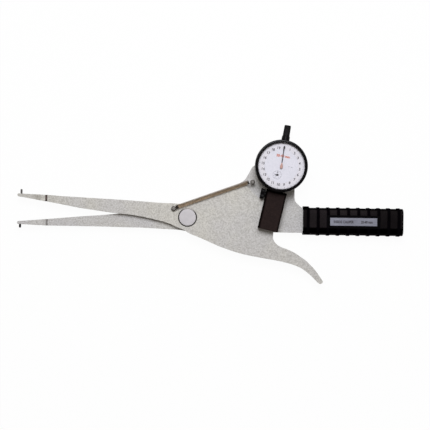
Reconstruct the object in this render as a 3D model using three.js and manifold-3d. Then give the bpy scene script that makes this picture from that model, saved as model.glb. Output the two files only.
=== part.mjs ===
// Internal dial caliper: two long jaws that reach into a bore and carry one contact pin each.
// The front plate turns on a pivot and lifts the spindle of a dial indicator that the frame holds.
// Millimetres. The caliper lies on its back: +X runs to the end of the grip, +Z rises to the dial.
// The pivot's axis is at X = 0, Y = 0 until the whole is placed over its own footprint at the end.

import * as THREE from 'three';
import { mergeVertices } from 'three/addons/utils/BufferGeometryUtils.js';
import Module from 'manifold-3d';

const wasm = await Module();
wasm.setup();

// Clearances shared by all pieces
const FIT_GAP = 0.3;
const SEAT_GAP = 0.05;
const BORE_GAP = 0.2;
const OVERRUN = 2;
const MERGE_DISTANCE = 0.00001;

// Sides of round pieces
const DIAL_SIDES = 44;
const DISC_SIDES = 32;
const ROUND_SIDES = 20;
const PIN_SIDES = 16;
const SCREW_SIDES = 10;

// Plates: the frame at the back and the moving arm in front of it
const PLATE = 5;
const FRAME_BACK = 8;
const FRAME_FRONT = FRAME_BACK + PLATE;
const PLATE_SPACE = 1;
const ARM_BACK = FRAME_FRONT + PLATE_SPACE;
const ARM_FRONT = ARM_BACK + PLATE;
const CONTACT_LEVEL = (FRAME_BACK + ARM_FRONT) / 2;

// Jaws, measured from the pivot towards -X
const JAW_REACH = 147.7;
const UPPER_JAW_RISE = 22.8;
const LOWER_JAW_DROP = 10.5;
const UPPER_JAW_TOP_SHARES = [
  [1, 0.95], [0.905, 0.905], [0.762, 0.861], [0.478, 0.771], [0.336, 0.717], [0.194, 0.656],
  [0.11, 0.64],
];
const UPPER_JAW_BOTTOM_SHARES = [
  [0.036, -0.545], [0.078, -0.451], [0.124, -0.313], [0.172, -0.21], [0.242, -0.103],
  [0.319, -0.001], [0.42, 0.097], [0.53, 0.162], [0.619, 0.236], [0.762, 0.364], [0.904, 0.533],
  [1, 0.6425],
];
const LOWER_JAW_TOP_SHARES = [
  [1, -0.35], [0.902, -0.219], [0.761, -0.041], [0.619, 0.112], [0.3, 0.56], [0.08, 0.95],
];
const LOWER_JAW_BOTTOM_SHARES = [
  [0.02, -1.36], [0.05, -1.285], [0.1, -1.24], [0.191, -1.18], [0.333, -1.09], [0.475, -1.075],
  [0.62, -1.035], [1, -1.015],
];

// Body of the moving arm, from the pivot to its right edge, and the trigger beyond that edge
const ARM_RIGHT_X = 90.3;
const TRIGGER_LENGTH = 52.4;
const TRIGGER_DROP = 68;
const ARM_BOTTOM_SHARES = [
  [0.038, 0.257], [0.155, 0.315], [0.389, 0.4485], [0.623, 0.5475], [0.831, 0.602],
];
const TRIGGER_OUTER_SHARES = [
  [0.033, 0.643], [0.352, 0.695], [0.556, 0.756], [0.676, 0.815], [0.799, 0.8955], [0.918, 0.987],
];
const TRIGGER_TIP_SHARES = [[0.957, 1.003], [0.995, 0.99], [1.008, 0.972]];
const TRIGGER_INNER_SHARES = [
  [1, 0.947], [0.929, 0.8706], [0.858, 0.795], [0.761, 0.716], [0.659, 0.64], [0.551, 0.584],
  [0.431, 0.5235], [0.269, 0.4676], [0.189, 0.4485], [0.109, 0.4176], [0.067, 0.3926],
  [0.027, 0.356], [0.006, 0.331], [-0.005, 0.285], [0, 0.238],
];
const CURVE_STEPS = 2;

// Dial indicator: its centre, and the turn of its stem axis away from +Y
const CASE_RADIUS = 25.8;
const ANVIL_SEAT_X = 87.267;
const ANVIL_SEAT_Y = -6.538;
const ANVIL_DROP = 36.1;
const DIAL_RISE = CASE_RADIUS + ANVIL_DROP;
const DIAL_TURN = THREE.MathUtils.degToRad(9);
const DIAL_X = ANVIL_SEAT_X + DIAL_RISE * Math.sin(DIAL_TURN);
const DIAL_Y = ANVIL_SEAT_Y + DIAL_RISE * Math.cos(DIAL_TURN);
const FACE_TURN = THREE.MathUtils.degToRad(1.3);
const AXIS_LEVEL = 25;

// Guard over the stem: its centre, and its turn, a little more than the stem's
const GUARD_X = 88.2;
const GUARD_Y = 6.45;
const GUARD_TURN = THREE.MathUtils.degToRad(12.5);

// Tension spring between the arm and the frame
const ARM_POST_X = -14.6;
const ARM_POST_Y = 9.1;
const FRAME_POST_X = 67.9;
const FRAME_POST_Y = 37.9;
const SPRING_WIRE = 0.8;
const SPRING_OUTER = 4.6;
const SPRING_CURLS = 56;
const SPRING_SIDES = 5;
const CURL_STEPS = 8;
const HOOK_STEPS = 14;
const HOOK_RADIUS = 2.1;
const HOOK_SHANK = 2;
const COIL_START_LIFT = 0.4;
const COIL_END_LIFT = 1.3;
const HOOK_OPENING = THREE.MathUtils.degToRad(75);
const SPRING_LEVEL = ARM_FRONT + FIT_GAP + SPRING_OUTER / 2 + FIT_GAP;
const LEAST_WIRE_GAP = 0.4;
const SELF_GAP_SKIP = 4;
const POST_RADIUS = 1.3;
const POST_HEAD_RADIUS = 1.9;
const POST_HEAD = 0.8;

// Finishes
const PAINTED = { color: 0xc0bdb8, roughness: 0.5, metalness: 0.35 };
const STEEL = { color: 0xb4b4b6, roughness: 0.3, metalness: 0.9 };
const DARK_STEEL = { color: 0x3a3836, roughness: 0.4, metalness: 0.8 };
const BRAZE = { color: 0x6b4a36, roughness: 0.6, metalness: 0.5 };
const BRASS = { color: 0xb08d4a, roughness: 0.35, metalness: 0.9 };
const SPRING_STEEL = { color: 0x6b563f, roughness: 0.4, metalness: 0.7 };
const BLACK_PLASTIC = { color: 0x1a1717, roughness: 0.55, metalness: 0 };
const BLACK_METAL = { color: 0x151416, roughness: 0.35, metalness: 0.4 };
const DIAL_WHITE = { color: 0xdfdde4, roughness: 0.6, metalness: 0 };
const POINTER_BLACK = { color: 0x1d1718, roughness: 0.5, metalness: 0.2 };
const LABEL_SILVER = { color: 0x9699a6, roughness: 0.4, metalness: 0.6 };
const CLEAR = { color: 0xf2f4f6, roughness: 0.05, metalness: 0 };

// Helpers: closed meshes, cuts and joins
function closed(geometry) {
  const bare = new THREE.BufferGeometry();
  bare.setAttribute('position', geometry.getAttribute('position').clone());
  if (geometry.index) bare.setIndex(geometry.index.clone());
  const merged = mergeVertices(bare, MERGE_DISTANCE);
  const spots = merged.getAttribute('position');
  const kept = [];
  let volume = 0;
  const corners = [new THREE.Vector3(), new THREE.Vector3(), new THREE.Vector3()];
  for (let i = 0; i < merged.index.count; i += 3) {
    const triple = [0, 1, 2].map((step) => merged.index.getX(i + step));
    if (new Set(triple).size < 3) continue;
    triple.forEach((vertex, step) => corners[step].fromBufferAttribute(spots, vertex));
    volume += corners[0].dot(corners[1].clone().cross(corners[2]));
    kept.push(triple);
  }
  merged.setIndex(kept.flatMap((triple) => (volume < 0 ? [...triple].reverse() : triple)));
  return merged;
}

function solidOf(geometry) {
  const mesh = closed(geometry);
  return new wasm.Manifold(new wasm.Mesh({
    numProp: 3,
    vertProperties: new Float32Array(mesh.getAttribute('position').array),
    triVerts: new Uint32Array(mesh.index.array),
  }));
}

function geometryOf(solid) {
  const mesh = solid.getMesh();
  const geometry = new THREE.BufferGeometry();
  geometry.setAttribute('position', new THREE.BufferAttribute(new Float32Array(mesh.vertProperties), 3));
  geometry.setIndex([...mesh.triVerts]);
  return geometry;
}

function cut(body, ...tools) {
  return geometryOf(tools.reduce((solid, tool) => solid.subtract(solidOf(tool)), solidOf(body)));
}

function join(body, ...others) {
  return geometryOf(others.reduce((solid, other) => solid.add(solidOf(other)), solidOf(body)));
}

// Helpers: plain shapes
function block(left, right, low, high, back, front) {
  const box = new THREE.BoxGeometry(right - left, high - low, front - back);
  return box.translate((left + right) / 2, (low + high) / 2, (back + front) / 2);
}

function rod(radius, from, to, sides = ROUND_SIDES) {
  const along = new THREE.Vector3().subVectors(to, from);
  const cylinder = new THREE.CylinderGeometry(radius, radius, along.length(), sides);
  const up = new THREE.Vector3(0, 1, 0);
  cylinder.applyQuaternion(new THREE.Quaternion().setFromUnitVectors(up, along.normalize()));
  const middle = new THREE.Vector3().addVectors(from, to).divideScalar(2);
  return cylinder.translate(middle.x, middle.y, middle.z);
}

function standing(radius, x, y, back, front, sides = ROUND_SIDES) {
  return rod(radius, new THREE.Vector3(x, y, back), new THREE.Vector3(x, y, front), sides);
}

// A profile of [radius, level] pairs, run anticlockwise, turned about the Z axis
function turned(profile, sides = ROUND_SIDES) {
  const points = profile.map(([radius, level]) => new THREE.Vector2(radius, level));
  if (profile[0][0] > 0) points.push(points[0].clone());
  return new THREE.LatheGeometry(points, sides).rotateX(Math.PI / 2);
}

function plate(points, back, front) {
  const shape = new THREE.Shape(points);
  return new THREE.ExtrudeGeometry(shape, { depth: front - back, bevelEnabled: false }).translate(0, 0, back);
}

function scaled(shares, reach, rise) {
  return shares.map(([along, up]) => new THREE.Vector2(along * reach, up * rise));
}

function curve(points, steps = CURVE_STEPS) {
  return new THREE.SplineCurve(points).getPoints((points.length - 1) * steps);
}

function arc(x, y, radius, from, to, steps) {
  const points = [];
  for (let step = 0; step <= steps; step += 1) {
    const angle = from + (to - from) * step / steps;
    points.push(new THREE.Vector2(x + radius * Math.cos(angle), y + radius * Math.sin(angle)));
  }
  return points;
}

function piece(group, name, geometry, finish) {
  const mesh = new THREE.Mesh(closed(geometry), new THREE.MeshStandardMaterial(finish));
  mesh.name = name;
  group.add(mesh);
  return mesh;
}

const caliper = new THREE.Group();

function turnedGroup(x, y, turn) {
  const group = new THREE.Group();
  group.position.set(x, y, 0);
  group.rotation.z = -turn;
  group.updateMatrix();
  caliper.add(group);
  return group;
}

const indicator = turnedGroup(DIAL_X, DIAL_Y, DIAL_TURN);
const guardHousing = turnedGroup(GUARD_X, GUARD_Y, GUARD_TURN);

// A point of a turned group's own frame, given in the caliper's frame
function placedIn(group, x, y) {
  const spot = new THREE.Vector3(x, y, 0).applyMatrix4(group.matrix);
  return new THREE.Vector2(spot.x, spot.y);
}

// Pivot: a screw through a bush in the arm, with a washer between the plates and a nut behind
const PIVOT_HEAD_RADIUS = 9.2;
const PIVOT_HEAD = 2.2;
const PIVOT_HEAD_PROUD = 0.4;
const PIVOT_HEAD_EDGE = 0.4;
const HEAD_RING_GAP = 0.8;
const PIVOT_SHANK_RADIUS = 5;
const PIVOT_THREAD_RADIUS = 4;
const BUSH_WALL = 2.2;
const PIVOT_WASHER_RADIUS = 11;
const PIVOT_NUT_RADIUS = 8.1;
const PIVOT_NUT = 5.2;
const LOCK_WASHER = 1.2;
const LOCK_WASHER_RADIUS = 7.4;
const HEAD_RECESS_RADIUS = PIVOT_HEAD_RADIUS + HEAD_RING_GAP;
const HEAD_BACK = ARM_FRONT + PIVOT_HEAD_PROUD - PIVOT_HEAD;
const HEAD_RECESS_FLOOR = HEAD_BACK - FIT_GAP;
const BUSH_INNER_RADIUS = PIVOT_SHANK_RADIUS + BORE_GAP;
const BUSH_OUTER_RADIUS = BUSH_INNER_RADIUS + BUSH_WALL;
const LOCK_WASHER_FRONT = FRAME_BACK - SEAT_GAP;
const NUT_FRONT = LOCK_WASHER_FRONT - LOCK_WASHER - SEAT_GAP;
const NUT_BACK = NUT_FRONT - PIVOT_NUT;

function pivotScrew() {
  const front = HEAD_BACK + PIVOT_HEAD;
  return turned([
    [0, NUT_BACK - FIT_GAP], [PIVOT_THREAD_RADIUS, NUT_BACK - FIT_GAP],
    [PIVOT_THREAD_RADIUS, FRAME_FRONT + SEAT_GAP], [PIVOT_SHANK_RADIUS, FRAME_FRONT + SEAT_GAP],
    [PIVOT_SHANK_RADIUS, HEAD_BACK], [PIVOT_HEAD_RADIUS, HEAD_BACK],
    [PIVOT_HEAD_RADIUS, front - PIVOT_HEAD_EDGE], [PIVOT_HEAD_RADIUS - PIVOT_HEAD_EDGE, front], [0, front],
  ], DISC_SIDES);
}

function ring(inner, outer, back, front, sides = ROUND_SIDES) {
  return turned([[inner, back], [outer, back], [outer, front], [inner, front]], sides);
}

function pivotNut() {
  const blank = new THREE.CylinderGeometry(PIVOT_NUT_RADIUS, PIVOT_NUT_RADIUS, PIVOT_NUT, 6);
  blank.rotateX(Math.PI / 2).translate(0, 0, (NUT_BACK + NUT_FRONT) / 2);
  return cut(blank, standing(PIVOT_THREAD_RADIUS + BORE_GAP, 0, 0, NUT_BACK - OVERRUN, NUT_FRONT + OVERRUN));
}

piece(caliper, 'pivot_screw', pivotScrew(), STEEL);
piece(caliper, 'pivot_bush',
  ring(BUSH_INNER_RADIUS, BUSH_OUTER_RADIUS, ARM_BACK, HEAD_RECESS_FLOOR), BRASS);
piece(caliper, 'pivot_washer', ring(PIVOT_SHANK_RADIUS + BORE_GAP, PIVOT_WASHER_RADIUS,
  FRAME_FRONT + FIT_GAP, ARM_BACK - FIT_GAP), BRASS);
piece(caliper, 'pivot_lock_washer', ring(PIVOT_THREAD_RADIUS + BORE_GAP, LOCK_WASHER_RADIUS,
  LOCK_WASHER_FRONT - LOCK_WASHER, LOCK_WASHER_FRONT), STEEL);
piece(caliper, 'pivot_nut', pivotNut(), STEEL);

// Spring line: the edges of both plates follow it, hidden behind the coil
const springStart = new THREE.Vector2(ARM_POST_X, ARM_POST_Y);
const springEnd = new THREE.Vector2(FRAME_POST_X, FRAME_POST_Y);
const springLength = springStart.distanceTo(springEnd);
const springAlong = springEnd.clone().sub(springStart).normalize();
const springAcross = new THREE.Vector2(-springAlong.y, springAlong.x);

function besideSpring(along, across) {
  return springStart.clone().addScaledVector(springAlong, along).addScaledVector(springAcross, across);
}

// Moving arm: upper jaw, body and trigger in one plate
const ARM_EDGE_LIFT = 0.6;
const ARM_EDGE_START = 13;
const ARM_EDGE_END = 79.5;
const ARM_SHOULDER_X = 68.8;
const ARM_SHOULDER_Y = 26.5;
const ARM_SADDLE_X = 78;
const ARM_SADDLE_Y = 20.2;
const ARM_RIGHT_Y = 16.5;
const ARM_CORNER = 3;
const STOP_NOTCH_DEPTH = 3.6;
const STOP_PIN_RADIUS = 1.4;
const STOP_PIN_Y = 8.2;
const ARM_SWING = THREE.MathUtils.degToRad(6.8);

function triggerPoints(shares) {
  return scaled(shares, TRIGGER_LENGTH, -TRIGGER_DROP).map((spot) => spot.setX(ARM_RIGHT_X + spot.x));
}

function armOutline() {
  const jawTop = curve(scaled(UPPER_JAW_TOP_SHARES, -JAW_REACH, UPPER_JAW_RISE));
  const jawBottom = curve(scaled(UPPER_JAW_BOTTOM_SHARES, -JAW_REACH, UPPER_JAW_RISE));
  const outer = curve([
    ...scaled(ARM_BOTTOM_SHARES, ARM_RIGHT_X, -TRIGGER_DROP), ...triggerPoints(TRIGGER_OUTER_SHARES),
  ]);
  const tip = triggerPoints(TRIGGER_TIP_SHARES);
  const inner = curve(triggerPoints(TRIGGER_INNER_SHARES));
  const saddle = curve([
    besideSpring(ARM_EDGE_END, ARM_EDGE_LIFT), new THREE.Vector2(ARM_SHOULDER_X, ARM_SHOULDER_Y),
    new THREE.Vector2(ARM_SADDLE_X, ARM_SADDLE_Y),
    new THREE.Vector2(ARM_RIGHT_X - ARM_CORNER, ARM_RIGHT_Y),
    new THREE.Vector2(ARM_RIGHT_X, ARM_RIGHT_Y - ARM_CORNER),
  ]);
  return [...outer, ...tip, ...inner, ...saddle.reverse(), besideSpring(ARM_EDGE_START, ARM_EDGE_LIFT),
    ...jawTop.reverse(), ...jawBottom.reverse()];
}

function stopNotch() {
  const travel = ARM_RIGHT_X * Math.sin(ARM_SWING);
  const top = STOP_PIN_Y + STOP_PIN_RADIUS + FIT_GAP;
  const bottom = STOP_PIN_Y - STOP_PIN_RADIUS - FIT_GAP - travel;
  return block(ARM_RIGHT_X - STOP_NOTCH_DEPTH, ARM_RIGHT_X + OVERRUN, bottom, top,
    ARM_BACK - OVERRUN, ARM_FRONT + OVERRUN);
}

function movingArm() {
  const blank = plate(armOutline(), ARM_BACK, ARM_FRONT);
  return cut(blank,
    standing(BUSH_OUTER_RADIUS + BORE_GAP, 0, 0, ARM_BACK - OVERRUN, ARM_FRONT + OVERRUN),
    standing(HEAD_RECESS_RADIUS, 0, 0, HEAD_RECESS_FLOOR, ARM_FRONT + OVERRUN, DISC_SIDES),
    stopNotch(), armPostHole(), anvilScrewHole());
}

// Posts that hold the spring's hooks
const POST_STEM = 3;

function post(x, y, seat, front) {
  const lathe = turned([
    [0, seat - POST_STEM], [POST_RADIUS, seat - POST_STEM], [POST_RADIUS, front - POST_HEAD],
    [POST_HEAD_RADIUS, front - POST_HEAD], [POST_HEAD_RADIUS, front], [0, front],
  ], PIN_SIDES);
  return lathe.translate(x, y, 0);
}

function postHole(x, y, seat) {
  return standing(POST_RADIUS + BORE_GAP, x, y, seat - POST_STEM - FIT_GAP, seat + OVERRUN, PIN_SIDES);
}

function armPostHole() {
  return postHole(ARM_POST_X, ARM_POST_Y, ARM_FRONT);
}

const POST_FRONT = SPRING_LEVEL + SPRING_WIRE + POST_HEAD + FIT_GAP;
piece(caliper, 'arm_spring_post', post(ARM_POST_X, ARM_POST_Y, ARM_FRONT, POST_FRONT), STEEL);
piece(caliper, 'frame_spring_post', post(FRAME_POST_X, FRAME_POST_Y, FRAME_FRONT, POST_FRONT), STEEL);

// Return spring: one wire, a loop at each post and the coil between them
function springPath() {
  const coilRadius = (SPRING_OUTER - SPRING_WIRE) / 2;
  const coilStart = HOOK_RADIUS + HOOK_SHANK;
  const pitch = (springLength - 2 * coilStart) / SPRING_CURLS;
  const points = [];
  const add = (along, across, up) => {
    const spot = besideSpring(along, across);
    points.push(new THREE.Vector3(spot.x, spot.y, SPRING_LEVEL + up));
  };
  const loopTurn = 2 * Math.PI - HOOK_OPENING;
  for (let step = 0; step <= HOOK_STEPS; step += 1) {
    const angle = -Math.PI / 2 - loopTurn * (1 - step / HOOK_STEPS);
    add(HOOK_RADIUS * Math.cos(angle), HOOK_RADIUS * Math.sin(angle), 0);
  }
  for (let step = 0; step <= SPRING_CURLS * CURL_STEPS; step += 1) {
    const angle = -Math.PI / 2 + 2 * Math.PI * step / CURL_STEPS;
    const share = step / (SPRING_CURLS * CURL_STEPS);
    const lift = THREE.MathUtils.lerp(COIL_START_LIFT, COIL_END_LIFT, share);
    const across = lift + coilRadius * Math.sin(angle);
    add(coilStart + pitch * step / CURL_STEPS, across, coilRadius * Math.cos(angle));
  }
  for (let step = 0; step <= HOOK_STEPS; step += 1) {
    const angle = -Math.PI / 2 + loopTurn * step / HOOK_STEPS;
    add(springLength + HOOK_RADIUS * Math.cos(angle), HOOK_RADIUS * Math.sin(angle), 0);
  }
  return points;
}

function leastSelfGap(points, wire) {
  const travelled = [0];
  for (let i = 1; i < points.length; i += 1) {
    travelled.push(travelled[i - 1] + points[i].distanceTo(points[i - 1]));
  }
  let least = Infinity;
  const skip = SELF_GAP_SKIP * wire;
  for (let i = 0; i < points.length; i += 1) {
    for (let j = i + 1; j < points.length; j += 1) {
      if (travelled[j] - travelled[i] <= skip) continue;
      least = Math.min(least, points[i].distanceTo(points[j]) - wire);
    }
  }
  return least;
}

function wireTube(points, radius, sides) {
  const positions = [];
  const index = [];
  const side = new THREE.Vector3(0, 0, 1);
  const middle = new THREE.Vector3();
  points.forEach((point, i) => {
    const before = points[Math.max(i - 1, 0)];
    const after = points[Math.min(i + 1, points.length - 1)];
    const along = new THREE.Vector3().subVectors(after, before).normalize();
    side.addScaledVector(along, -side.dot(along)).normalize();
    const other = new THREE.Vector3().crossVectors(along, side);
    for (let k = 0; k < sides; k += 1) {
      const angle = 2 * Math.PI * k / sides;
      middle.copy(point).addScaledVector(side, radius * Math.cos(angle));
      middle.addScaledVector(other, radius * Math.sin(angle));
      positions.push(middle.x, middle.y, middle.z);
    }
  });
  for (let i = 0; i + 1 < points.length; i += 1) {
    for (let k = 0; k < sides; k += 1) {
      const here = i * sides + k;
      const next = i * sides + (k + 1) % sides;
      index.push(here, next, next + sides, here, next + sides, here + sides);
    }
  }
  const last = (points.length - 1) * sides;
  for (let k = 1; k + 1 < sides; k += 1) {
    index.push(0, k + 1, k, last, last + k, last + k + 1);
  }
  const geometry = new THREE.BufferGeometry();
  geometry.setAttribute('position', new THREE.BufferAttribute(new Float32Array(positions), 3));
  geometry.setIndex(index);
  return geometry;
}

const wirePoints = springPath();
const wireGap = leastSelfGap(wirePoints, SPRING_WIRE);
console.log(`return_spring: least gap to itself ${wireGap.toFixed(2)} mm, wanted over ${LEAST_WIRE_GAP} mm`);
piece(caliper, 'return_spring', wireTube(wirePoints, SPRING_WIRE / 2, SPRING_SIDES), SPRING_STEEL);

// Jaw tips: steel ends brazed to both jaws and bent to one common level, with a contact pin each
const BRAZE_BAND = 2;
const TIP_LENGTH = 29.9;
const TIP_BEND_START = 4;
const TIP_BEND_END = 14;
const TIP_BEND_STEPS = 5;
const TIP_ROUND = 1.2;
const UPPER_TIP_SHARES = { nearTop: 0.95, nearBottom: 0.653, endTop: 1.003, endBottom: 0.876 };
const LOWER_TIP_SHARES = { nearTop: -0.365, nearBottom: -1.014, endTop: -0.615, endBottom: -0.884 };
const UPPER_PIN_RADIUS = 1.05;
const UPPER_PIN_TOP = 27.5;
const LOWER_PIN_RADIUS = 1.15;
const LOWER_PIN_BOTTOM = -13.3;
const PIN_SEAT = 2.4;
const TIP_NEAR_X = -JAW_REACH - BRAZE_BAND;
const TIP_END_X = TIP_NEAR_X - TIP_LENGTH;
const UPPER_PIN_INSET = 3.9;
const LOWER_PIN_INSET = 2.8;
const UPPER_PIN_X = TIP_END_X + UPPER_PIN_INSET;
const LOWER_PIN_X = TIP_END_X + LOWER_PIN_INSET;

// Height of a tip's edge at x, between its root and its end
function tipEdge(x, near, end, rise) {
  return THREE.MathUtils.mapLinear(x, TIP_NEAR_X, TIP_END_X, near * rise, end * rise);
}

function tipOutline(shares, rise) {
  const stations = [TIP_NEAR_X - SEAT_GAP];
  for (let step = 0; step <= TIP_BEND_STEPS; step += 1) {
    const bend = (TIP_BEND_END - TIP_BEND_START) * step / TIP_BEND_STEPS;
    stations.push(TIP_NEAR_X - TIP_BEND_START - bend);
  }
  stations.push(TIP_END_X + TIP_ROUND);
  const edge = (near, end) => stations.map((x) => new THREE.Vector2(x, tipEdge(x, near, end, rise)));
  const top = edge(shares.nearTop, shares.endTop);
  const bottom = edge(shares.nearBottom, shares.endBottom);
  const endTop = new THREE.Vector2(TIP_END_X, shares.endTop * rise - TIP_ROUND);
  const endBottom = new THREE.Vector2(TIP_END_X, shares.endBottom * rise + TIP_ROUND);
  return [...top, endTop, endBottom, ...bottom.reverse()];
}

function bentTip(shares, rise, back, front) {
  const geometry = plate(tipOutline(shares, rise), back, front);
  const spots = geometry.getAttribute('position');
  const shift = CONTACT_LEVEL - (back + front) / 2;
  for (let i = 0; i < spots.count; i += 1) {
    const past = TIP_NEAR_X - spots.getX(i);
    const bent = THREE.MathUtils.smoothstep(past, TIP_BEND_START, TIP_BEND_END);
    spots.setZ(i, spots.getZ(i) + shift * bent);
  }
  return geometry;
}

function brazeBand(shares, rise, back, front) {
  const left = TIP_NEAR_X;
  const right = -JAW_REACH - SEAT_GAP;
  return plate([
    new THREE.Vector2(left, shares.nearBottom * rise), new THREE.Vector2(right, shares.nearBottom * rise),
    new THREE.Vector2(right, shares.nearTop * rise), new THREE.Vector2(left, shares.nearTop * rise),
  ], back, front);
}

// A contact pin that points along Y, with a ball end
function contactPin(radius, x, seat, end) {
  const outward = Math.sign(end - seat);
  const length = Math.abs(end - seat);
  const profile = [[0, 0], [radius, 0]];
  const steps = 3;
  for (let step = 0; step <= steps; step += 1) {
    const angle = Math.PI / 2 * step / steps;
    profile.push([radius * Math.cos(angle), length - radius + radius * Math.sin(angle)]);
  }
  profile[profile.length - 1][0] = 0;
  const pin = turned(profile, PIN_SIDES).rotateX(-outward * Math.PI / 2);
  return pin.translate(x, seat, CONTACT_LEVEL);
}

function pinHole(radius, x, seat, end) {
  const outward = Math.sign(end - seat);
  return rod(radius + BORE_GAP, new THREE.Vector3(x, seat - outward * FIT_GAP, CONTACT_LEVEL),
    new THREE.Vector3(x, end + outward * OVERRUN, CONTACT_LEVEL), PIN_SIDES);
}

const upperTipTop = tipEdge(UPPER_PIN_X, UPPER_TIP_SHARES.nearTop, UPPER_TIP_SHARES.endTop, UPPER_JAW_RISE);
const lowerTipBottom = tipEdge(LOWER_PIN_X, LOWER_TIP_SHARES.nearBottom, LOWER_TIP_SHARES.endBottom,
  LOWER_JAW_DROP);
const upperPinSeat = upperTipTop - PIN_SEAT;
const lowerPinSeat = lowerTipBottom + PIN_SEAT;
piece(caliper, 'upper_jaw_tip', cut(bentTip(UPPER_TIP_SHARES, UPPER_JAW_RISE, ARM_BACK, ARM_FRONT),
  pinHole(UPPER_PIN_RADIUS, UPPER_PIN_X, upperPinSeat, UPPER_PIN_TOP)), STEEL);
piece(caliper, 'lower_jaw_tip', cut(bentTip(LOWER_TIP_SHARES, LOWER_JAW_DROP, FRAME_BACK, FRAME_FRONT),
  pinHole(LOWER_PIN_RADIUS, LOWER_PIN_X, lowerPinSeat, LOWER_PIN_BOTTOM)), STEEL);
piece(caliper, 'upper_braze_band',
  brazeBand(UPPER_TIP_SHARES, UPPER_JAW_RISE, ARM_BACK, ARM_FRONT), BRAZE);
piece(caliper, 'lower_braze_band',
  brazeBand(LOWER_TIP_SHARES, LOWER_JAW_DROP, FRAME_BACK, FRAME_FRONT), BRAZE);
piece(caliper, 'upper_contact_pin',
  contactPin(UPPER_PIN_RADIUS, UPPER_PIN_X, upperPinSeat, UPPER_PIN_TOP), DARK_STEEL);
piece(caliper, 'lower_contact_pin',
  contactPin(LOWER_PIN_RADIUS, LOWER_PIN_X, lowerPinSeat, LOWER_PIN_BOTTOM), DARK_STEEL);

// Stop pin: it stands on the frame in a notch of the arm, under the guard
const STOP_PIN_X = ARM_RIGHT_X - STOP_PIN_RADIUS - FIT_GAP;
const STOP_PIN_STEM = 3;
piece(caliper, 'stop_pin', standing(STOP_PIN_RADIUS, STOP_PIN_X, STOP_PIN_Y,
  FRAME_FRONT - STOP_PIN_STEM, ARM_FRONT, PIN_SIDES), STEEL);

// Grip: two ribbed shells round the frame's tang, three screws and a name plate
const GRIP_START = 121.8;
const GRIP_LENGTH = 105.2;
const GRIP_END = GRIP_START + GRIP_LENGTH;
const GRIP_HALF_HEIGHT = 14.3;
const GRIP_HALF_DEPTH = 9.5;
const GRIP_CORNER = 5.8;
const GRIP_Y = -2.35;
const GRIP_LEVEL = FRAME_BACK + PLATE / 2;
const RIB_PROUD = 0.7;
const RIB_PITCH = 10.6;
const RIB_COUNT = 9;
const RIB_OFFSET = 15.5;
const RIB_FIRST = GRIP_START + RIB_OFFSET;
const RIB_BASE = 3.8;
const RIB_CREST = 2.2;
const COLLAR_PROUD = 0.75;
const COLLAR_LIFT = 0.75;
const COLLAR_LENGTH = 6.5;
const COLLAR_SLOPE = 0.8;
const END_CHAMFER = 0.6;
const LABEL_PAD_LOW = -9.4;
const LABEL_PAD_HIGH = 5;
const LABEL_LENGTH = 49.4;
const LABEL_HEIGHT = 8.3;
const LABEL_PLATE = 0.8;
const LABEL_X = 174.5;
const LABEL_Y = -2.4;
const LABEL_PAD_LEFT = 4;
const LABEL_PAD_RIGHT = 3.8;
const LABEL_PAD_START = LABEL_X - LABEL_LENGTH / 2 - LABEL_PAD_LEFT;
const LABEL_PAD_END = LABEL_X + LABEL_LENGTH / 2 + LABEL_PAD_RIGHT;
const BACK_PAD_START = LABEL_PAD_START;
const BACK_PAD_END = LABEL_PAD_END;
const BACK_PAD_HALF_SHARE = 0.5;
const TANG_TOP = 9;
const TANG_BOTTOM = -12.6;
const TANG_MARGIN = 10;
const TANG_END = GRIP_END - TANG_MARGIN;
const GRIP_SCREW_SHARES = [0.14, 0.52, 0.86];
const GRIP_SCREW_RADIUS = 1.5;
const GRIP_SCREW_HEAD_RADIUS = 2.8;
const GRIP_SCREW_HEAD = 2;
const GRIP_SCREW_SUNK = 1.6;
const GRIP_SCREW_LENGTH = 15.5;
const SHELL_CORNER_STEPS = 3;
const gripBack = GRIP_LEVEL - GRIP_HALF_DEPTH - COLLAR_PROUD;
const gripScrewHeadBack = gripBack + GRIP_SCREW_SUNK;
const gripScrewSeat = gripScrewHeadBack + GRIP_SCREW_HEAD;
const gripScrewFront = gripScrewHeadBack + GRIP_SCREW_LENGTH;

function shellRing(x, proud, lift, front) {
  const half = GRIP_HALF_HEIGHT + proud;
  const depth = GRIP_HALF_DEPTH + proud;
  const radius = GRIP_CORNER + proud;
  const across = [new THREE.Vector2(-half, SEAT_GAP)];
  const square = Math.PI / 2;
  across.push(...arc(-half + radius, depth - radius, radius, Math.PI, square, SHELL_CORNER_STEPS));
  across.push(...arc(half - radius, depth - radius, radius, square, 0, SHELL_CORNER_STEPS));
  across.push(new THREE.Vector2(half, SEAT_GAP));
  const face = front ? 1 : -1;
  return across.map((spot) => new THREE.Vector3(x, GRIP_Y + lift + spot.x, GRIP_LEVEL + face * spot.y));
}

function shellStations() {
  const collarEnd = GRIP_START + COLLAR_LENGTH;
  const stations = [
    [GRIP_START, COLLAR_PROUD, COLLAR_LIFT], [collarEnd - COLLAR_SLOPE, COLLAR_PROUD, COLLAR_LIFT],
    [collarEnd, 0, 0],
  ];
  for (let rib = 0; rib < RIB_COUNT; rib += 1) {
    const middle = RIB_FIRST + rib * RIB_PITCH;
    stations.push([middle - RIB_BASE / 2, 0, 0], [middle - RIB_CREST / 2, RIB_PROUD, 0],
      [middle + RIB_CREST / 2, RIB_PROUD, 0], [middle + RIB_BASE / 2, 0, 0]);
  }
  stations.push([GRIP_END - END_CHAMFER, 0, 0], [GRIP_END, -END_CHAMFER, 0]);
  return stations;
}

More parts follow.
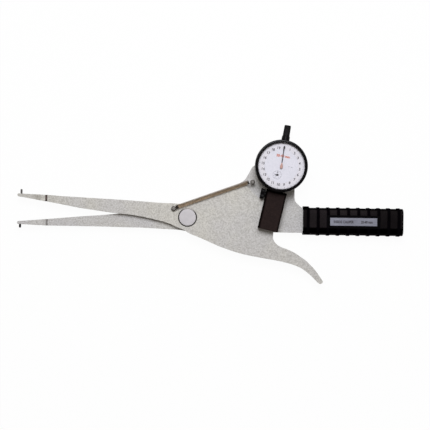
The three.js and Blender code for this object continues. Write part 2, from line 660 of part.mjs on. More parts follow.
function shellLoft(front) {
  const rings = shellStations().map(([x, proud, lift]) => shellRing(x, proud, lift, front));
  const count = rings[0].length;
  const positions = rings.flat().flatMap((spot) => [spot.x, spot.y, spot.z]);
  const index = [];
  for (let i = 0; i + 1 < rings.length; i += 1) {
    for (let k = 0; k < count; k += 1) {
      const here = i * count + k;
      const next = i * count + (k + 1) % count;
      index.push(here, next, next + count, here, next + count, here + count);
    }
  }
  const last = (rings.length - 1) * count;
  for (let k = 1; k + 1 < count; k += 1) {
    index.push(0, k + 1, k, last, last + k, last + k + 1);
  }
  const geometry = new THREE.BufferGeometry();
  geometry.setAttribute('position', new THREE.BufferAttribute(new Float32Array(positions), 3));
  geometry.setIndex(index);
  return geometry;
}

function gripScrewX(number) {
  return GRIP_START + GRIP_LENGTH * GRIP_SCREW_SHARES[number];
}

function gripScrewHoles(back, front) {
  return GRIP_SCREW_SHARES.map((share, number) => standing(GRIP_SCREW_RADIUS + BORE_GAP,
    gripScrewX(number), GRIP_Y, back, front, SCREW_SIDES));
}

function tangPocket() {
  return block(GRIP_START - OVERRUN, TANG_END + FIT_GAP, TANG_BOTTOM - FIT_GAP, TANG_TOP + FIT_GAP,
    FRAME_BACK - FIT_GAP, FRAME_FRONT + FIT_GAP);
}

function gripFrontShell() {
  const padFloor = GRIP_LEVEL + GRIP_HALF_DEPTH;
  const pad = block(LABEL_PAD_START, LABEL_PAD_END, LABEL_PAD_LOW, LABEL_PAD_HIGH,
    padFloor, padFloor + OVERRUN);
  return cut(shellLoft(true), tangPocket(), pad,
    ...gripScrewHoles(GRIP_LEVEL - OVERRUN, gripScrewFront + FIT_GAP));
}

function gripBackShell() {
  const halfPad = GRIP_HALF_HEIGHT * BACK_PAD_HALF_SHARE;
  const pad = block(BACK_PAD_START, BACK_PAD_END, GRIP_Y - halfPad, GRIP_Y + halfPad,
    gripBack, GRIP_LEVEL - GRIP_HALF_DEPTH + RIB_PROUD);
  const headBores = GRIP_SCREW_SHARES.map((share, number) => standing(GRIP_SCREW_HEAD_RADIUS + FIT_GAP,
    gripScrewX(number), GRIP_Y, gripBack - OVERRUN, gripScrewSeat, PIN_SIDES));
  return cut(join(shellLoft(false), pad), tangPocket(), ...headBores,
    ...gripScrewHoles(gripBack - OVERRUN, GRIP_LEVEL + OVERRUN));
}

function gripScrew(number) {
  const seat = gripScrewSeat - SEAT_GAP;
  return turned([
    [0, gripScrewHeadBack], [GRIP_SCREW_HEAD_RADIUS, gripScrewHeadBack], [GRIP_SCREW_HEAD_RADIUS, seat],
    [GRIP_SCREW_RADIUS, seat], [GRIP_SCREW_RADIUS, gripScrewFront], [0, gripScrewFront],
  ], SCREW_SIDES).translate(gripScrewX(number), GRIP_Y, 0);
}

piece(caliper, 'grip_front_shell', gripFrontShell(), BLACK_PLASTIC);
piece(caliper, 'grip_back_shell', gripBackShell(), BLACK_PLASTIC);
GRIP_SCREW_SHARES.forEach((share, number) => {
  piece(caliper, `grip_screw_${number + 1}`, gripScrew(number), STEEL);
});
const labelBack = GRIP_LEVEL + GRIP_HALF_DEPTH + SEAT_GAP;
piece(caliper, 'name_plate', block(LABEL_X - LABEL_LENGTH / 2, LABEL_X + LABEL_LENGTH / 2,
  LABEL_Y - LABEL_HEIGHT / 2, LABEL_Y + LABEL_HEIGHT / 2, labelBack, labelBack + LABEL_PLATE), LABEL_SILVER);

// Dial case, in the indicator's own frame: +Y runs up the stem axis, the dial faces +Z
const CASE_WALL = 1.9;
const CASE_STEP = 2.2;
const CASE_BACK = 17.5;
const CASE_STEP_LEVEL = 21;
const CASE_FRONT = 34;
const STEM_RADIUS = 4;
const STEM_BORE = 2.4;
const STEM_BITE = 2.8;
const STEM_LENGTH = 19;
const STEM_TOP = STEM_BITE - CASE_RADIUS;
const STEM_BOTTOM = STEM_TOP - STEM_LENGTH;
const SPINDLE_RADIUS = 2;
const CAP_RADIUS = 3.6;
const CAP_FOOT_RADIUS = 4.2;
const CAP_HEIGHT = 17.2;
const CAP_FOOT_HEIGHT = 5;
const CAP_SHOULDER_HEIGHT = 6.7;
const CAP_BITE = 3;
const CAP_CLEARANCE = 0.5;
const CAP_ROOF = 1.2;
const CAP_EDGE = 0.6;
const CAP_FOOT = CASE_RADIUS + CAP_CLEARANCE;
const CAP_TOP = CAP_FOOT + CAP_HEIGHT;
const CAP_FOOT_TOP = CAP_FOOT + CAP_FOOT_HEIGHT;
const CAP_SHOULDER = CAP_FOOT + CAP_SHOULDER_HEIGHT;
const CAP_TIP_RADIUS = 3.4;
const CAP_NECK_RADIUS = 3.3;
const CAP_NECK_END = CASE_RADIUS - CAP_BITE;
const COVER_THICK = 1.2;
const COVER_SPIGOT = 1.2;
const COVER_SCREW_RADIUS = 0.7;
const COVER_SCREW_HEAD_RADIUS = 1.3;
const COVER_SCREW_HEAD = 0.7;
const COVER_SCREW_LENGTH = 2.6;
const COVER_SCREWS = 4;
const DIAL_PLATE = 0.6;

function upright(radius, low, high, sides = ROUND_SIDES) {
  return rod(radius, new THREE.Vector3(0, low, AXIS_LEVEL), new THREE.Vector3(0, high, AXIS_LEVEL), sides);
}

function coverScrewSpot(number) {
  const angle = Math.PI / 4 + number * 2 * Math.PI / COVER_SCREWS;
  const radius = CASE_RADIUS - (CASE_WALL + CASE_STEP) / 2;
  return new THREE.Vector2(radius * Math.cos(angle), radius * Math.sin(angle));
}

function coverScrewHoles(back, front) {
  return Array.from({ length: COVER_SCREWS }, (unused, number) => {
    const spot = coverScrewSpot(number);
    return standing(COVER_SCREW_RADIUS + BORE_GAP, spot.x, spot.y, back, front, SCREW_SIDES);
  });
}

function dialCase() {
  const inner = CASE_RADIUS - CASE_WALL;
  const stepped = inner - CASE_STEP;
  const wall = turned([
    [stepped, CASE_BACK], [CASE_RADIUS, CASE_BACK], [CASE_RADIUS, CASE_FRONT], [inner, CASE_FRONT],
    [inner, CASE_STEP_LEVEL], [stepped, CASE_STEP_LEVEL],
  ], DIAL_SIDES);
  return cut(wall, upright(STEM_RADIUS + BORE_GAP, -CASE_RADIUS - OVERRUN, STEM_TOP + OVERRUN),
    upright(CAP_NECK_RADIUS + BORE_GAP, CAP_NECK_END - OVERRUN, CASE_RADIUS + OVERRUN),
    ...coverScrewHoles(CASE_BACK - OVERRUN, CASE_BACK + COVER_SCREW_LENGTH));
}

function backCover() {
  const front = CASE_BACK - SEAT_GAP;
  const spigot = CASE_RADIUS - CASE_WALL - CASE_STEP - FIT_GAP;
  const blank = turned([
    [0, front - COVER_THICK], [CASE_RADIUS, front - COVER_THICK], [CASE_RADIUS, front], [spigot, front],
    [spigot, front + COVER_SPIGOT], [0, front + COVER_SPIGOT],
  ], DIAL_SIDES);
  return cut(blank, ...coverScrewHoles(front - COVER_THICK - OVERRUN, front + OVERRUN));
}

function coverScrew(number) {
  const seat = CASE_BACK - SEAT_GAP - COVER_THICK - SEAT_GAP;
  const spot = coverScrewSpot(number);
  return turned([
    [0, seat - COVER_SCREW_HEAD], [COVER_SCREW_HEAD_RADIUS, seat - COVER_SCREW_HEAD],
    [COVER_SCREW_HEAD_RADIUS, seat], [COVER_SCREW_RADIUS, seat],
    [COVER_SCREW_RADIUS, seat + COVER_SCREW_LENGTH], [0, seat + COVER_SCREW_LENGTH],
  ], SCREW_SIDES).translate(spot.x, spot.y, 0);
}

// Turned about the stem axis: a profile of [radius, height] pairs
function turnedUpright(profile, sides = ROUND_SIDES) {
  const points = profile.map(([radius, height]) => new THREE.Vector2(radius, height));
  if (profile[0][0] > 0) points.push(points[0].clone());
  return new THREE.LatheGeometry(points, sides).translate(0, 0, AXIS_LEVEL);
}

function spindleCap() {
  return turnedUpright([
    [STEM_BORE, CAP_NECK_END], [CAP_NECK_RADIUS, CAP_NECK_END], [CAP_NECK_RADIUS, CAP_FOOT],
    [CAP_FOOT_RADIUS, CAP_FOOT], [CAP_FOOT_RADIUS, CAP_FOOT_TOP], [CAP_RADIUS, CAP_SHOULDER],
    [CAP_TIP_RADIUS, CAP_TOP - CAP_EDGE], [CAP_TIP_RADIUS - CAP_EDGE, CAP_TOP], [0, CAP_TOP],
    [0, CAP_TOP - CAP_ROOF], [STEM_BORE, CAP_TOP - CAP_ROOF], [STEM_BORE, CAP_NECK_END],
  ]);
}

piece(indicator, 'dial_case', dialCase(), BLACK_METAL);
piece(indicator, 'dial_back_cover', backCover(), BLACK_METAL);
for (let number = 0; number < COVER_SCREWS; number += 1) {
  piece(indicator, `back_cover_screw_${number + 1}`, coverScrew(number), STEEL);
}
piece(indicator, 'dial_stem', turnedUpright([
  [STEM_BORE, STEM_BOTTOM], [STEM_RADIUS, STEM_BOTTOM], [STEM_RADIUS, STEM_TOP], [STEM_BORE, STEM_TOP],
]), STEEL);
piece(indicator, 'spindle_cap', spindleCap(), BLACK_PLASTIC);

// Gear train: rack, transfer gear, centre pinion and counter gear
const RACK_MODULE = 0.314;
const RACK_PINION_TEETH = 20;
const TRAIN_MODULE = 0.37;
const WHEEL_TEETH = 24;
const PINION_TEETH = 12;
const COUNTER_TEETH = 42;
const COUNTER_SIDE = THREE.MathUtils.degToRad(16);
const TOOTH_TIP_SHARE = 0.16;
const TOOTH_ROOT_SHARE = 0.42;
const TOOTH_ADDENDUM_SHARE = 0.75;
const TOOTH_DEDENDUM_SHARE = 1.15;
const MESH_SLACK = 0.06;
const RACK_PITCH_X = 1;
const RACK_FLAT_X = RACK_PITCH_X + RACK_MODULE * TOOTH_ADDENDUM_SHARE;
const ARBOR_RADIUS = 0.7;
const rackPinionRadius = RACK_PINION_TEETH * RACK_MODULE / 2;
const wheelRadius = WHEEL_TEETH * TRAIN_MODULE / 2;
const pinionRadius = PINION_TEETH * TRAIN_MODULE / 2;
const counterRadius = COUNTER_TEETH * TRAIN_MODULE / 2;
const transferX = RACK_PITCH_X + rackPinionRadius + MESH_SLACK;
const transferY = Math.sqrt((wheelRadius + pinionRadius + MESH_SLACK) ** 2 - transferX ** 2);
const counterReach = counterRadius + pinionRadius + MESH_SLACK;
const counterX = -counterReach * Math.sin(COUNTER_SIDE);
const counterY = -counterReach * Math.cos(COUNTER_SIDE);
const counterAngle = Math.atan2(counterY, counterX);

function gearOutline(teeth, size, phase) {
  const radius = teeth * size / 2;
  const tip = radius + size * TOOTH_ADDENDUM_SHARE;
  const root = radius - size * TOOTH_DEDENDUM_SHARE;
  const pitch = 2 * Math.PI / teeth;
  const points = [];
  for (let tooth = 0; tooth < teeth; tooth += 1) {
    const middle = phase + tooth * pitch;
    const corners = [[root, -TOOTH_ROOT_SHARE], [tip, -TOOTH_TIP_SHARE], [tip, TOOTH_TIP_SHARE],
      [root, TOOTH_ROOT_SHARE]];
    corners.forEach(([reach, share]) => {
      const angle = middle + share * pitch / 2;
      points.push(new THREE.Vector2(reach * Math.cos(angle), reach * Math.sin(angle)));
    });
  }
  return points;
}

// Movement: levels of the plates, the wheels and the hands
const MOVEMENT_BACK = 29;
const MOVEMENT_PLATE = 0.8;
const MOVEMENT_SPACE = 3.2;
const WHEEL_LIFT = 0.56;
const WHEEL_LEVEL = MOVEMENT_BACK + MOVEMENT_PLATE + WHEEL_LIFT;
const WHEEL_THICK = 0.8;
const WHEEL_FRONT = WHEEL_LEVEL + WHEEL_THICK;
const MOVEMENT_FRONT = MOVEMENT_BACK + MOVEMENT_SPACE;
const RACK_PINION_HALF = 1.5;
const FACE_LEVEL = CASE_FRONT + FIT_GAP;
const FACE_FRONT = FACE_LEVEL + DIAL_PLATE;
const HAND_THICK = 0.4;
const COUNTER_HAND_LEVEL = FACE_FRONT + HAND_THICK;
const POINTER_LEVEL = COUNTER_HAND_LEVEL + 2 * HAND_THICK;
const MOVEMENT_CLEARANCE = 0.2;
const MOVEMENT_RADIUS = CASE_RADIUS - CASE_WALL - CASE_STEP - MOVEMENT_CLEARANCE;
const PILLAR_RADIUS = 1.2;
const PILLAR_INSET = 3;
const PILLAR_SPREAD = MOVEMENT_RADIUS - PILLAR_INSET;
const PILLAR_ANGLES = [10, 150, 210].map(THREE.MathUtils.degToRad);
const LEG_SPREAD = CASE_RADIUS - CASE_WALL - CASE_STEP / 2;
const LEG_RADIUS = 0.8;
const LEG_ARM = 1.6;
const LEG_ANGLES = [0, 120, 240].map(THREE.MathUtils.degToRad);

function arborHoles(back, front) {
  const radius = ARBOR_RADIUS + BORE_GAP;
  const arbors = [[0, 0], [transferX, transferY], [counterX, counterY]];
  return arbors.map(([x, y]) => standing(radius, x, y, back, front, SCREW_SIDES));
}

function ringSpot(radius, angle) {
  return new THREE.Vector2(radius * Math.cos(angle), radius * Math.sin(angle));
}

function movementBackPlate() {
  const front = MOVEMENT_BACK + MOVEMENT_PLATE;
  const disc = standing(MOVEMENT_RADIUS, 0, 0, MOVEMENT_BACK, front, DISC_SIDES);
  const pillars = PILLAR_ANGLES.map((angle) => {
    const spot = ringSpot(PILLAR_SPREAD, angle);
    return standing(PILLAR_RADIUS, spot.x, spot.y, MOVEMENT_BACK, MOVEMENT_FRONT - SEAT_GAP, SCREW_SIDES);
  });
  const legs = LEG_ANGLES.map((angle) => {
    const spot = ringSpot(LEG_SPREAD, angle);
    return standing(LEG_RADIUS, spot.x, spot.y, CASE_STEP_LEVEL + SEAT_GAP, front, SCREW_SIDES);
  });
  const arms = LEG_ANGLES.map((angle) => block(MOVEMENT_RADIUS - LEG_ARM, LEG_SPREAD, -LEG_RADIUS, LEG_RADIUS,
    MOVEMENT_BACK, front).rotateZ(angle));
  const whole = join(disc, ...pillars, ...legs, ...arms);
  return cut(whole, ...arborHoles(MOVEMENT_BACK - OVERRUN, front + OVERRUN));
}

function movementFrontPlate() {
  const front = MOVEMENT_FRONT + MOVEMENT_PLATE;
  const disc = standing(MOVEMENT_RADIUS, 0, 0, MOVEMENT_FRONT, front, DISC_SIDES);
  return cut(disc, ...arborHoles(MOVEMENT_FRONT - OVERRUN, front + OVERRUN));
}

// Spindle: a rod with the rack cut into its right side, and the contact point below it
const SPINDLE_RISE = 4.2;
const SPINDLE_TOP = CASE_RADIUS + SPINDLE_RISE;
const SPINDLE_BOTTOM_RISE = 5.9;
const SPINDLE_BOTTOM = SPINDLE_BOTTOM_RISE - DIAL_RISE;
const BALL_RADIUS = 1.5;
const POINT_BODY_RADIUS = 2.3;
const POINT_BODY = 3;
const ANVIL_TOP = -DIAL_RISE;
const BALL_END = ANVIL_TOP + FIT_GAP;
const RACK_TEETH = 18;
const RACK_BELOW = 14;

function rackComb() {
  const pitch = Math.PI * RACK_MODULE;
  const root = RACK_PITCH_X - RACK_MODULE * TOOTH_DEDENDUM_SHARE;
  const outside = SPINDLE_RADIUS + OVERRUN;
  const points = [new THREE.Vector2(outside, transferY - RACK_BELOW * pitch - pitch / 2)];
  for (let gap = 0; gap < RACK_TEETH; gap += 1) {
    const middle = transferY + (gap - RACK_BELOW) * pitch;
    const mouth = pitch / 2 * (1 - TOOTH_TIP_SHARE);
    const floor = pitch / 2 * (1 - TOOTH_ROOT_SHARE);
    points.push(new THREE.Vector2(RACK_FLAT_X, middle - mouth), new THREE.Vector2(root, middle - floor),
      new THREE.Vector2(root, middle + floor), new THREE.Vector2(RACK_FLAT_X, middle + mouth));
  }
  points.push(new THREE.Vector2(outside, transferY + (RACK_TEETH - RACK_BELOW) * pitch - pitch / 2));
  return plate(points, AXIS_LEVEL - SPINDLE_RADIUS - OVERRUN, AXIS_LEVEL + SPINDLE_RADIUS + OVERRUN);
}

function contactPoint() {
  const profile = [[0, BALL_END]];
  const steps = 5;
  for (let step = 1; step <= steps; step += 1) {
    const angle = -Math.PI / 2 + Math.PI / 2 * step / steps;
    profile.push([BALL_RADIUS * Math.cos(angle), BALL_END + BALL_RADIUS + BALL_RADIUS * Math.sin(angle)]);
  }
  const shoulder = SPINDLE_BOTTOM - FIT_GAP - POINT_BODY;
  profile.push([BALL_RADIUS, shoulder], [POINT_BODY_RADIUS, shoulder],
    [POINT_BODY_RADIUS, SPINDLE_BOTTOM - SEAT_GAP], [0, SPINDLE_BOTTOM - SEAT_GAP]);
  return turnedUpright(profile);
}

piece(indicator, 'spindle_rack',
  cut(upright(SPINDLE_RADIUS, SPINDLE_BOTTOM, SPINDLE_TOP), rackComb()), STEEL);
piece(indicator, 'contact_point', contactPoint(), STEEL);
piece(indicator, 'movement_back_plate', movementBackPlate(), BRASS);
piece(indicator, 'movement_front_plate', movementFrontPlate(), BRASS);

// Transfer gear: the rack pinion and the wheel on one arbor
const trainAngle = Math.atan2(-transferY, -transferX);

function transferGear() {
  const pinion = plate(gearOutline(RACK_PINION_TEETH, RACK_MODULE, 0),
    AXIS_LEVEL - RACK_PINION_HALF, AXIS_LEVEL + RACK_PINION_HALF);
  const wheel = plate(gearOutline(WHEEL_TEETH, TRAIN_MODULE, trainAngle), WHEEL_LEVEL, WHEEL_FRONT);
  const arbor = standing(ARBOR_RADIUS, 0, 0, AXIS_LEVEL - RACK_PINION_HALF - ARBOR_RADIUS,
    MOVEMENT_FRONT + MOVEMENT_PLATE, SCREW_SIDES);
  return join(arbor, pinion, wheel).translate(transferX, transferY, 0);
}

// Centre pinion: it meshes with the wheel on one side and with the counter gear on the other
const pinionPhase = trainAngle + Math.PI + Math.PI / PINION_TEETH;
const pinionPitch = 2 * Math.PI / PINION_TEETH;
const pinionOffset = THREE.MathUtils.euclideanModulo(pinionPhase - counterAngle, pinionPitch);
const pinionShare = pinionRadius / counterRadius;
const counterPhase = counterAngle + Math.PI - pinionOffset * pinionShare + Math.PI / COUNTER_TEETH;
const HUB_RADIUS = 1.9;
const POINTER_FRONT = POINTER_LEVEL + HAND_THICK;

function centrePinion() {
  const toothed = plate(gearOutline(PINION_TEETH, TRAIN_MODULE, pinionPhase), WHEEL_LEVEL, WHEEL_FRONT);
  const arborFront = POINTER_FRONT + HAND_THICK;
  return join(toothed, standing(ARBOR_RADIUS, 0, 0, MOVEMENT_BACK, arborFront, SCREW_SIDES));
}

function counterGear() {
  const toothed = plate(gearOutline(COUNTER_TEETH, TRAIN_MODULE, counterPhase), WHEEL_LEVEL, WHEEL_FRONT);
  const arborFront = COUNTER_HAND_LEVEL + 2 * HAND_THICK;
  const arbor = standing(ARBOR_RADIUS, 0, 0, MOVEMENT_BACK, arborFront, SCREW_SIDES);
  return join(toothed, arbor).translate(counterX, counterY, 0);
}

// Hands: flat outlines with a hub that fits over the arbor
const POINTER_REACH = 21;
const POINTER_TAIL = 4.6;
const POINTER_ROOT_HALF = 0.75;
const POINTER_TIP_HALF = 0.25;
const COUNTER_REACH = 2.8;
const COUNTER_HUB = 1.3;
const COUNTER_ROOT_HALF = 0.45;
const COUNTER_HAND_TURN = THREE.MathUtils.degToRad(95);
const HAND_STEPS = 8;

function hand(reach, hub, rootHalf, tipHalf, tail, level) {
  const start = Math.asin(rootHalf / hub);
  const top = Math.PI / 2;
  const points = [new THREE.Vector2(rootHalf, hub * Math.cos(start)), new THREE.Vector2(tipHalf, reach),
    new THREE.Vector2(-tipHalf, reach)];
  points.push(...arc(0, 0, hub, top + start, 3 * top - start, HAND_STEPS));
  if (tail > 0) points.push(new THREE.Vector2(-rootHalf, -tail), new THREE.Vector2(rootHalf, -tail));
  points.push(...arc(0, 0, hub, 3 * top + start, 5 * top - start, HAND_STEPS));
  points.pop();
  const bore = standing(ARBOR_RADIUS + BORE_GAP, 0, 0, level - OVERRUN, level + OVERRUN, SCREW_SIDES);
  return cut(plate(points, level, level + HAND_THICK), bore);
}

const pointerTurn = FACE_TURN;
piece(indicator, 'transfer_gear', transferGear(), BRASS);
piece(indicator, 'centre_pinion', centrePinion(), STEEL);
piece(indicator, 'counter_gear', counterGear(), BRASS);
piece(indicator, 'main_pointer', hand(POINTER_REACH, HUB_RADIUS, POINTER_ROOT_HALF, POINTER_TIP_HALF,
  POINTER_TAIL, POINTER_LEVEL).rotateZ(pointerTurn), POINTER_BLACK);
piece(indicator, 'counter_hand', hand(COUNTER_REACH, COUNTER_HUB, COUNTER_ROOT_HALF, POINTER_TIP_HALF,
  0, COUNTER_HAND_LEVEL).rotateZ(COUNTER_HAND_TURN).translate(counterX, counterY, 0), POINTER_BLACK);

// Dial: a fixed inner plate with feet, and the scale ring that turns with the bezel
const SCALE_WIDTH = 7.9;
const SCALE_CLEARANCE = 0.2;
const SCALE_OUTER = CASE_RADIUS - SCALE_CLEARANCE;
const SCALE_INNER = SCALE_OUTER - SCALE_WIDTH;
const FOOT_INSET = 2.7;
const FOOT_SPREAD = SCALE_INNER - FOOT_INSET;
const FOOT_ANGLES = [90, 210, 330].map(THREE.MathUtils.degToRad);

function innerDialPlate() {
  const radius = SCALE_INNER - FIT_GAP;
  const disc = standing(radius, 0, 0, FACE_LEVEL, FACE_FRONT, DIAL_SIDES);
  const feet = FOOT_ANGLES.map((angle) => {
    const spot = ringSpot(FOOT_SPREAD, angle);
    return standing(PILLAR_RADIUS, spot.x, spot.y, MOVEMENT_FRONT + MOVEMENT_PLATE + SEAT_GAP,
      FACE_FRONT - SEAT_GAP, SCREW_SIDES);
  });
  const holes = [[0, 0], [counterX, counterY]].map(([x, y]) => standing(ARBOR_RADIUS + FIT_GAP, x, y,
    FACE_LEVEL - OVERRUN, FACE_FRONT + OVERRUN, SCREW_SIDES));
  return cut(join(disc, ...feet), ...holes);
}

piece(indicator, 'inner_dial_plate', innerDialPlate(), DIAL_WHITE);
piece(indicator, 'scale_ring',
  ring(SCALE_INNER, SCALE_OUTER, FACE_LEVEL, FACE_FRONT, DIAL_SIDES), DIAL_WHITE);

// Bezel and crystal
const BEZEL_WALL = 1.3;
const BEZEL_LIP = 3;
const BEZEL_RADIUS = CASE_RADIUS + FIT_GAP + BEZEL_WALL;
const BEZEL_OPENING = BEZEL_RADIUS - BEZEL_LIP;
const BEZEL_BACK = 30.7;
const BEZEL_FRONT = 39.6;
const BEZEL_EDGE = 0.8;
const CRYSTAL_BITE = 0.9;
const CRYSTAL_RADIUS = BEZEL_OPENING + CRYSTAL_BITE;
const CRYSTAL_BACK = 38;
const CRYSTAL_THICK = 1.2;

function bezel() {
  const skirt = CASE_RADIUS + FIT_GAP;
  const seat = CRYSTAL_RADIUS + BORE_GAP;
  return turned([
    [skirt, BEZEL_BACK], [BEZEL_RADIUS, BEZEL_BACK], [BEZEL_RADIUS, BEZEL_FRONT - BEZEL_EDGE],
    [BEZEL_RADIUS - BEZEL_EDGE, BEZEL_FRONT], [seat, BEZEL_FRONT], [seat, CRYSTAL_BACK - SEAT_GAP],
    [BEZEL_OPENING, CRYSTAL_BACK - SEAT_GAP], [BEZEL_OPENING, FACE_FRONT + SEAT_GAP],
    [skirt, FACE_FRONT + SEAT_GAP],
  ], DIAL_SIDES);
}

piece(indicator, 'bezel', bezel(), BLACK_METAL);
piece(indicator, 'crystal',
  standing(CRYSTAL_RADIUS, 0, 0, CRYSTAL_BACK, CRYSTAL_BACK + CRYSTAL_THICK, DIAL_SIDES), CLEAR);

// Guard: a box over the stem and the spindle, open towards the plates, on two legs beside the arm
const GUARD_HALF_WIDTH = 10.65;
const GUARD_TOP = 22.6;
const GUARD_BOTTOM = -19;
const GUARD_WALL = 1.6;
const GUARD_LEG = 2.6;
const GUARD_BACK = ARM_FRONT + FIT_GAP;
const GUARD_FRONT = BEZEL_BACK - FIT_GAP;
const GUARD_ROUND = 2.4;
const GUARD_ROUND_STEPS = 3;
const GUARD_LEG_TOP = 4;
const GUARD_LEG_BOTTOM = -15;
const GUARD_SCREW_RADIUS = 0.7;
const GUARD_SCREW_HEAD_RADIUS = 1.5;
const GUARD_SCREW_HEAD = 1.2;
const GUARD_SCREW_BITE = 4;
const GUARD_SCREW_MARGIN = 4.5;
const GUARD_SCREW_HEIGHTS = [GUARD_LEG_TOP - GUARD_SCREW_MARGIN, GUARD_LEG_BOTTOM + GUARD_SCREW_MARGIN];
const guardLegX = GUARD_HALF_WIDTH - GUARD_LEG / 2;

function guardShell() {
  const round = GUARD_ROUND;
  const section = [
    new THREE.Vector2(-GUARD_HALF_WIDTH, GUARD_BACK), new THREE.Vector2(GUARD_HALF_WIDTH, GUARD_BACK),
    ...arc(GUARD_HALF_WIDTH - round, GUARD_FRONT - round, round, 0, Math.PI / 2, GUARD_ROUND_STEPS),
    ...arc(-GUARD_HALF_WIDTH + round, GUARD_FRONT - round, round, Math.PI / 2, Math.PI, GUARD_ROUND_STEPS),
  ];
  const bar = new THREE.ExtrudeGeometry(new THREE.Shape(section),
    { depth: GUARD_TOP - GUARD_BOTTOM, bevelEnabled: false });
  bar.rotateX(Math.PI / 2).translate(0, GUARD_TOP, 0);
  return bar;
}

function guardScrewHole(height, front) {
  return standing(GUARD_SCREW_RADIUS + BORE_GAP, guardLegX, height, FRAME_BACK - OVERRUN, front, SCREW_SIDES);
}

function spindleGuard() {
  const left = -GUARD_HALF_WIDTH + GUARD_WALL;
  const right = GUARD_HALF_WIDTH - GUARD_LEG;
  const hollow = block(left, right, GUARD_BOTTOM + GUARD_WALL, GUARD_TOP + OVERRUN,
    GUARD_BACK - OVERRUN, GUARD_FRONT - GUARD_WALL / 2);
  const leg = block(right, GUARD_HALF_WIDTH, GUARD_LEG_BOTTOM, GUARD_LEG_TOP,
    FRAME_FRONT + SEAT_GAP, GUARD_BACK + GUARD_WALL);
  const outside = new THREE.Vector3(-GUARD_HALF_WIDTH - OVERRUN, KNOB_Y, AXIS_LEVEL);
  const inside = new THREE.Vector3(left + OVERRUN, KNOB_Y, AXIS_LEVEL);
  const knobHole = rod(KNOB_SHANK_RADIUS + FIT_GAP, outside, inside, PIN_SIDES);
  const holeFront = FRAME_FRONT + GUARD_SCREW_BITE + FIT_GAP;
  const holes = GUARD_SCREW_HEIGHTS.map((height) => guardScrewHole(height, holeFront));
  return cut(join(guardShell(), leg), hollow, knobHole, ...holes);
}

function screwFromBack(x, y, radius, headRadius, head, bite) {
  const seat = FRAME_BACK - SEAT_GAP;
  return turned([
    [0, seat - head], [headRadius, seat - head], [headRadius, seat], [radius, seat],
    [radius, FRAME_FRONT + bite], [0, FRAME_FRONT + bite],
  ], SCREW_SIDES).translate(x, y, 0);
}

// Clamp: a block on the frame that holds the stem, and the knob that pinches it
const CLAMP_HALF_WIDTH = GUARD_HALF_WIDTH - GUARD_LEG - FIT_GAP;
const CLAMP_HEIGHT = 9.2;
const CLAMP_SETBACK = 1;
const CLAMP_TOP = GUARD_TOP - CLAMP_SETBACK;
const CLAMP_BOTTOM = CLAMP_TOP - CLAMP_HEIGHT;
const CLAMP_FRONT = AXIS_LEVEL + STEM_RADIUS + FIT_GAP;
const CLAMP_FOOT_LEFT = 2;
const KNOB_Y = 16.9;
const KNOB_RADIUS = 5.4;
const KNOB_THICK = 4.2;
const KNOB_COLLAR_RADIUS = 3.4;
const KNOB_COLLAR = 1;
const KNOB_SHANK_RADIUS = 1.6;
const KNOB_CHAMFER = 0.5;
const CLAMP_SCREW_RADIUS = 1;
const CLAMP_SCREW_HEAD_RADIUS = 2;
const CLAMP_SCREW_HEAD = 2;
const CLAMP_SCREW_BITE = 5;
const CLAMP_SCREW_X = (CLAMP_FOOT_LEFT + CLAMP_HALF_WIDTH) / 2;
const CLAMP_SCREW_HEIGHTS = [CLAMP_TOP - CLAMP_SCREW_HEAD_RADIUS, CLAMP_BOTTOM + CLAMP_SCREW_HEAD_RADIUS];

// The stem's bore as the clamp sees it, in the guard's own frame
function stemBore() {
  const bore = upright(STEM_RADIUS + BORE_GAP, -GUARD_TOP - STEM_RADIUS - CASE_RADIUS, STEM_TOP);
  return bore.applyMatrix4(indicator.matrix).applyMatrix4(guardHousing.matrix.clone().invert());
}

function stemClamp() {
  const body = block(-CLAMP_HALF_WIDTH, CLAMP_HALF_WIDTH, CLAMP_BOTTOM, CLAMP_TOP, GUARD_BACK, CLAMP_FRONT);
  const foot = block(CLAMP_FOOT_LEFT, CLAMP_HALF_WIDTH, CLAMP_BOTTOM, CLAMP_TOP,
    FRAME_FRONT + SEAT_GAP, GUARD_BACK + FIT_GAP);
  const knobBore = rod(KNOB_SHANK_RADIUS + BORE_GAP, new THREE.Vector3(-GUARD_HALF_WIDTH, KNOB_Y, AXIS_LEVEL),
    new THREE.Vector3(0, KNOB_Y, AXIS_LEVEL), PIN_SIDES);
  const screws = CLAMP_SCREW_HEIGHTS.map((height) => standing(CLAMP_SCREW_RADIUS + BORE_GAP,
    CLAMP_SCREW_X, height, FRAME_BACK - OVERRUN, FRAME_FRONT + CLAMP_SCREW_BITE + FIT_GAP, SCREW_SIDES));
  return cut(join(body, foot), stemBore(), knobBore, ...screws);
}

function clampKnob() {
  const inner = STEM_RADIUS + FIT_GAP;
  const face = GUARD_HALF_WIDTH + FIT_GAP;
  const rim = face + KNOB_COLLAR;
  const end = rim + KNOB_THICK;
  const lathe = turned([
    [0, inner], [KNOB_SHANK_RADIUS, inner], [KNOB_SHANK_RADIUS, face], [KNOB_COLLAR_RADIUS, face],
    [KNOB_COLLAR_RADIUS, rim], [KNOB_RADIUS, rim], [KNOB_RADIUS, end - KNOB_CHAMFER],
    [KNOB_RADIUS - KNOB_CHAMFER, end], [0, end],
  ]);
  return lathe.rotateY(-Math.PI / 2).translate(0, KNOB_Y, AXIS_LEVEL);
}

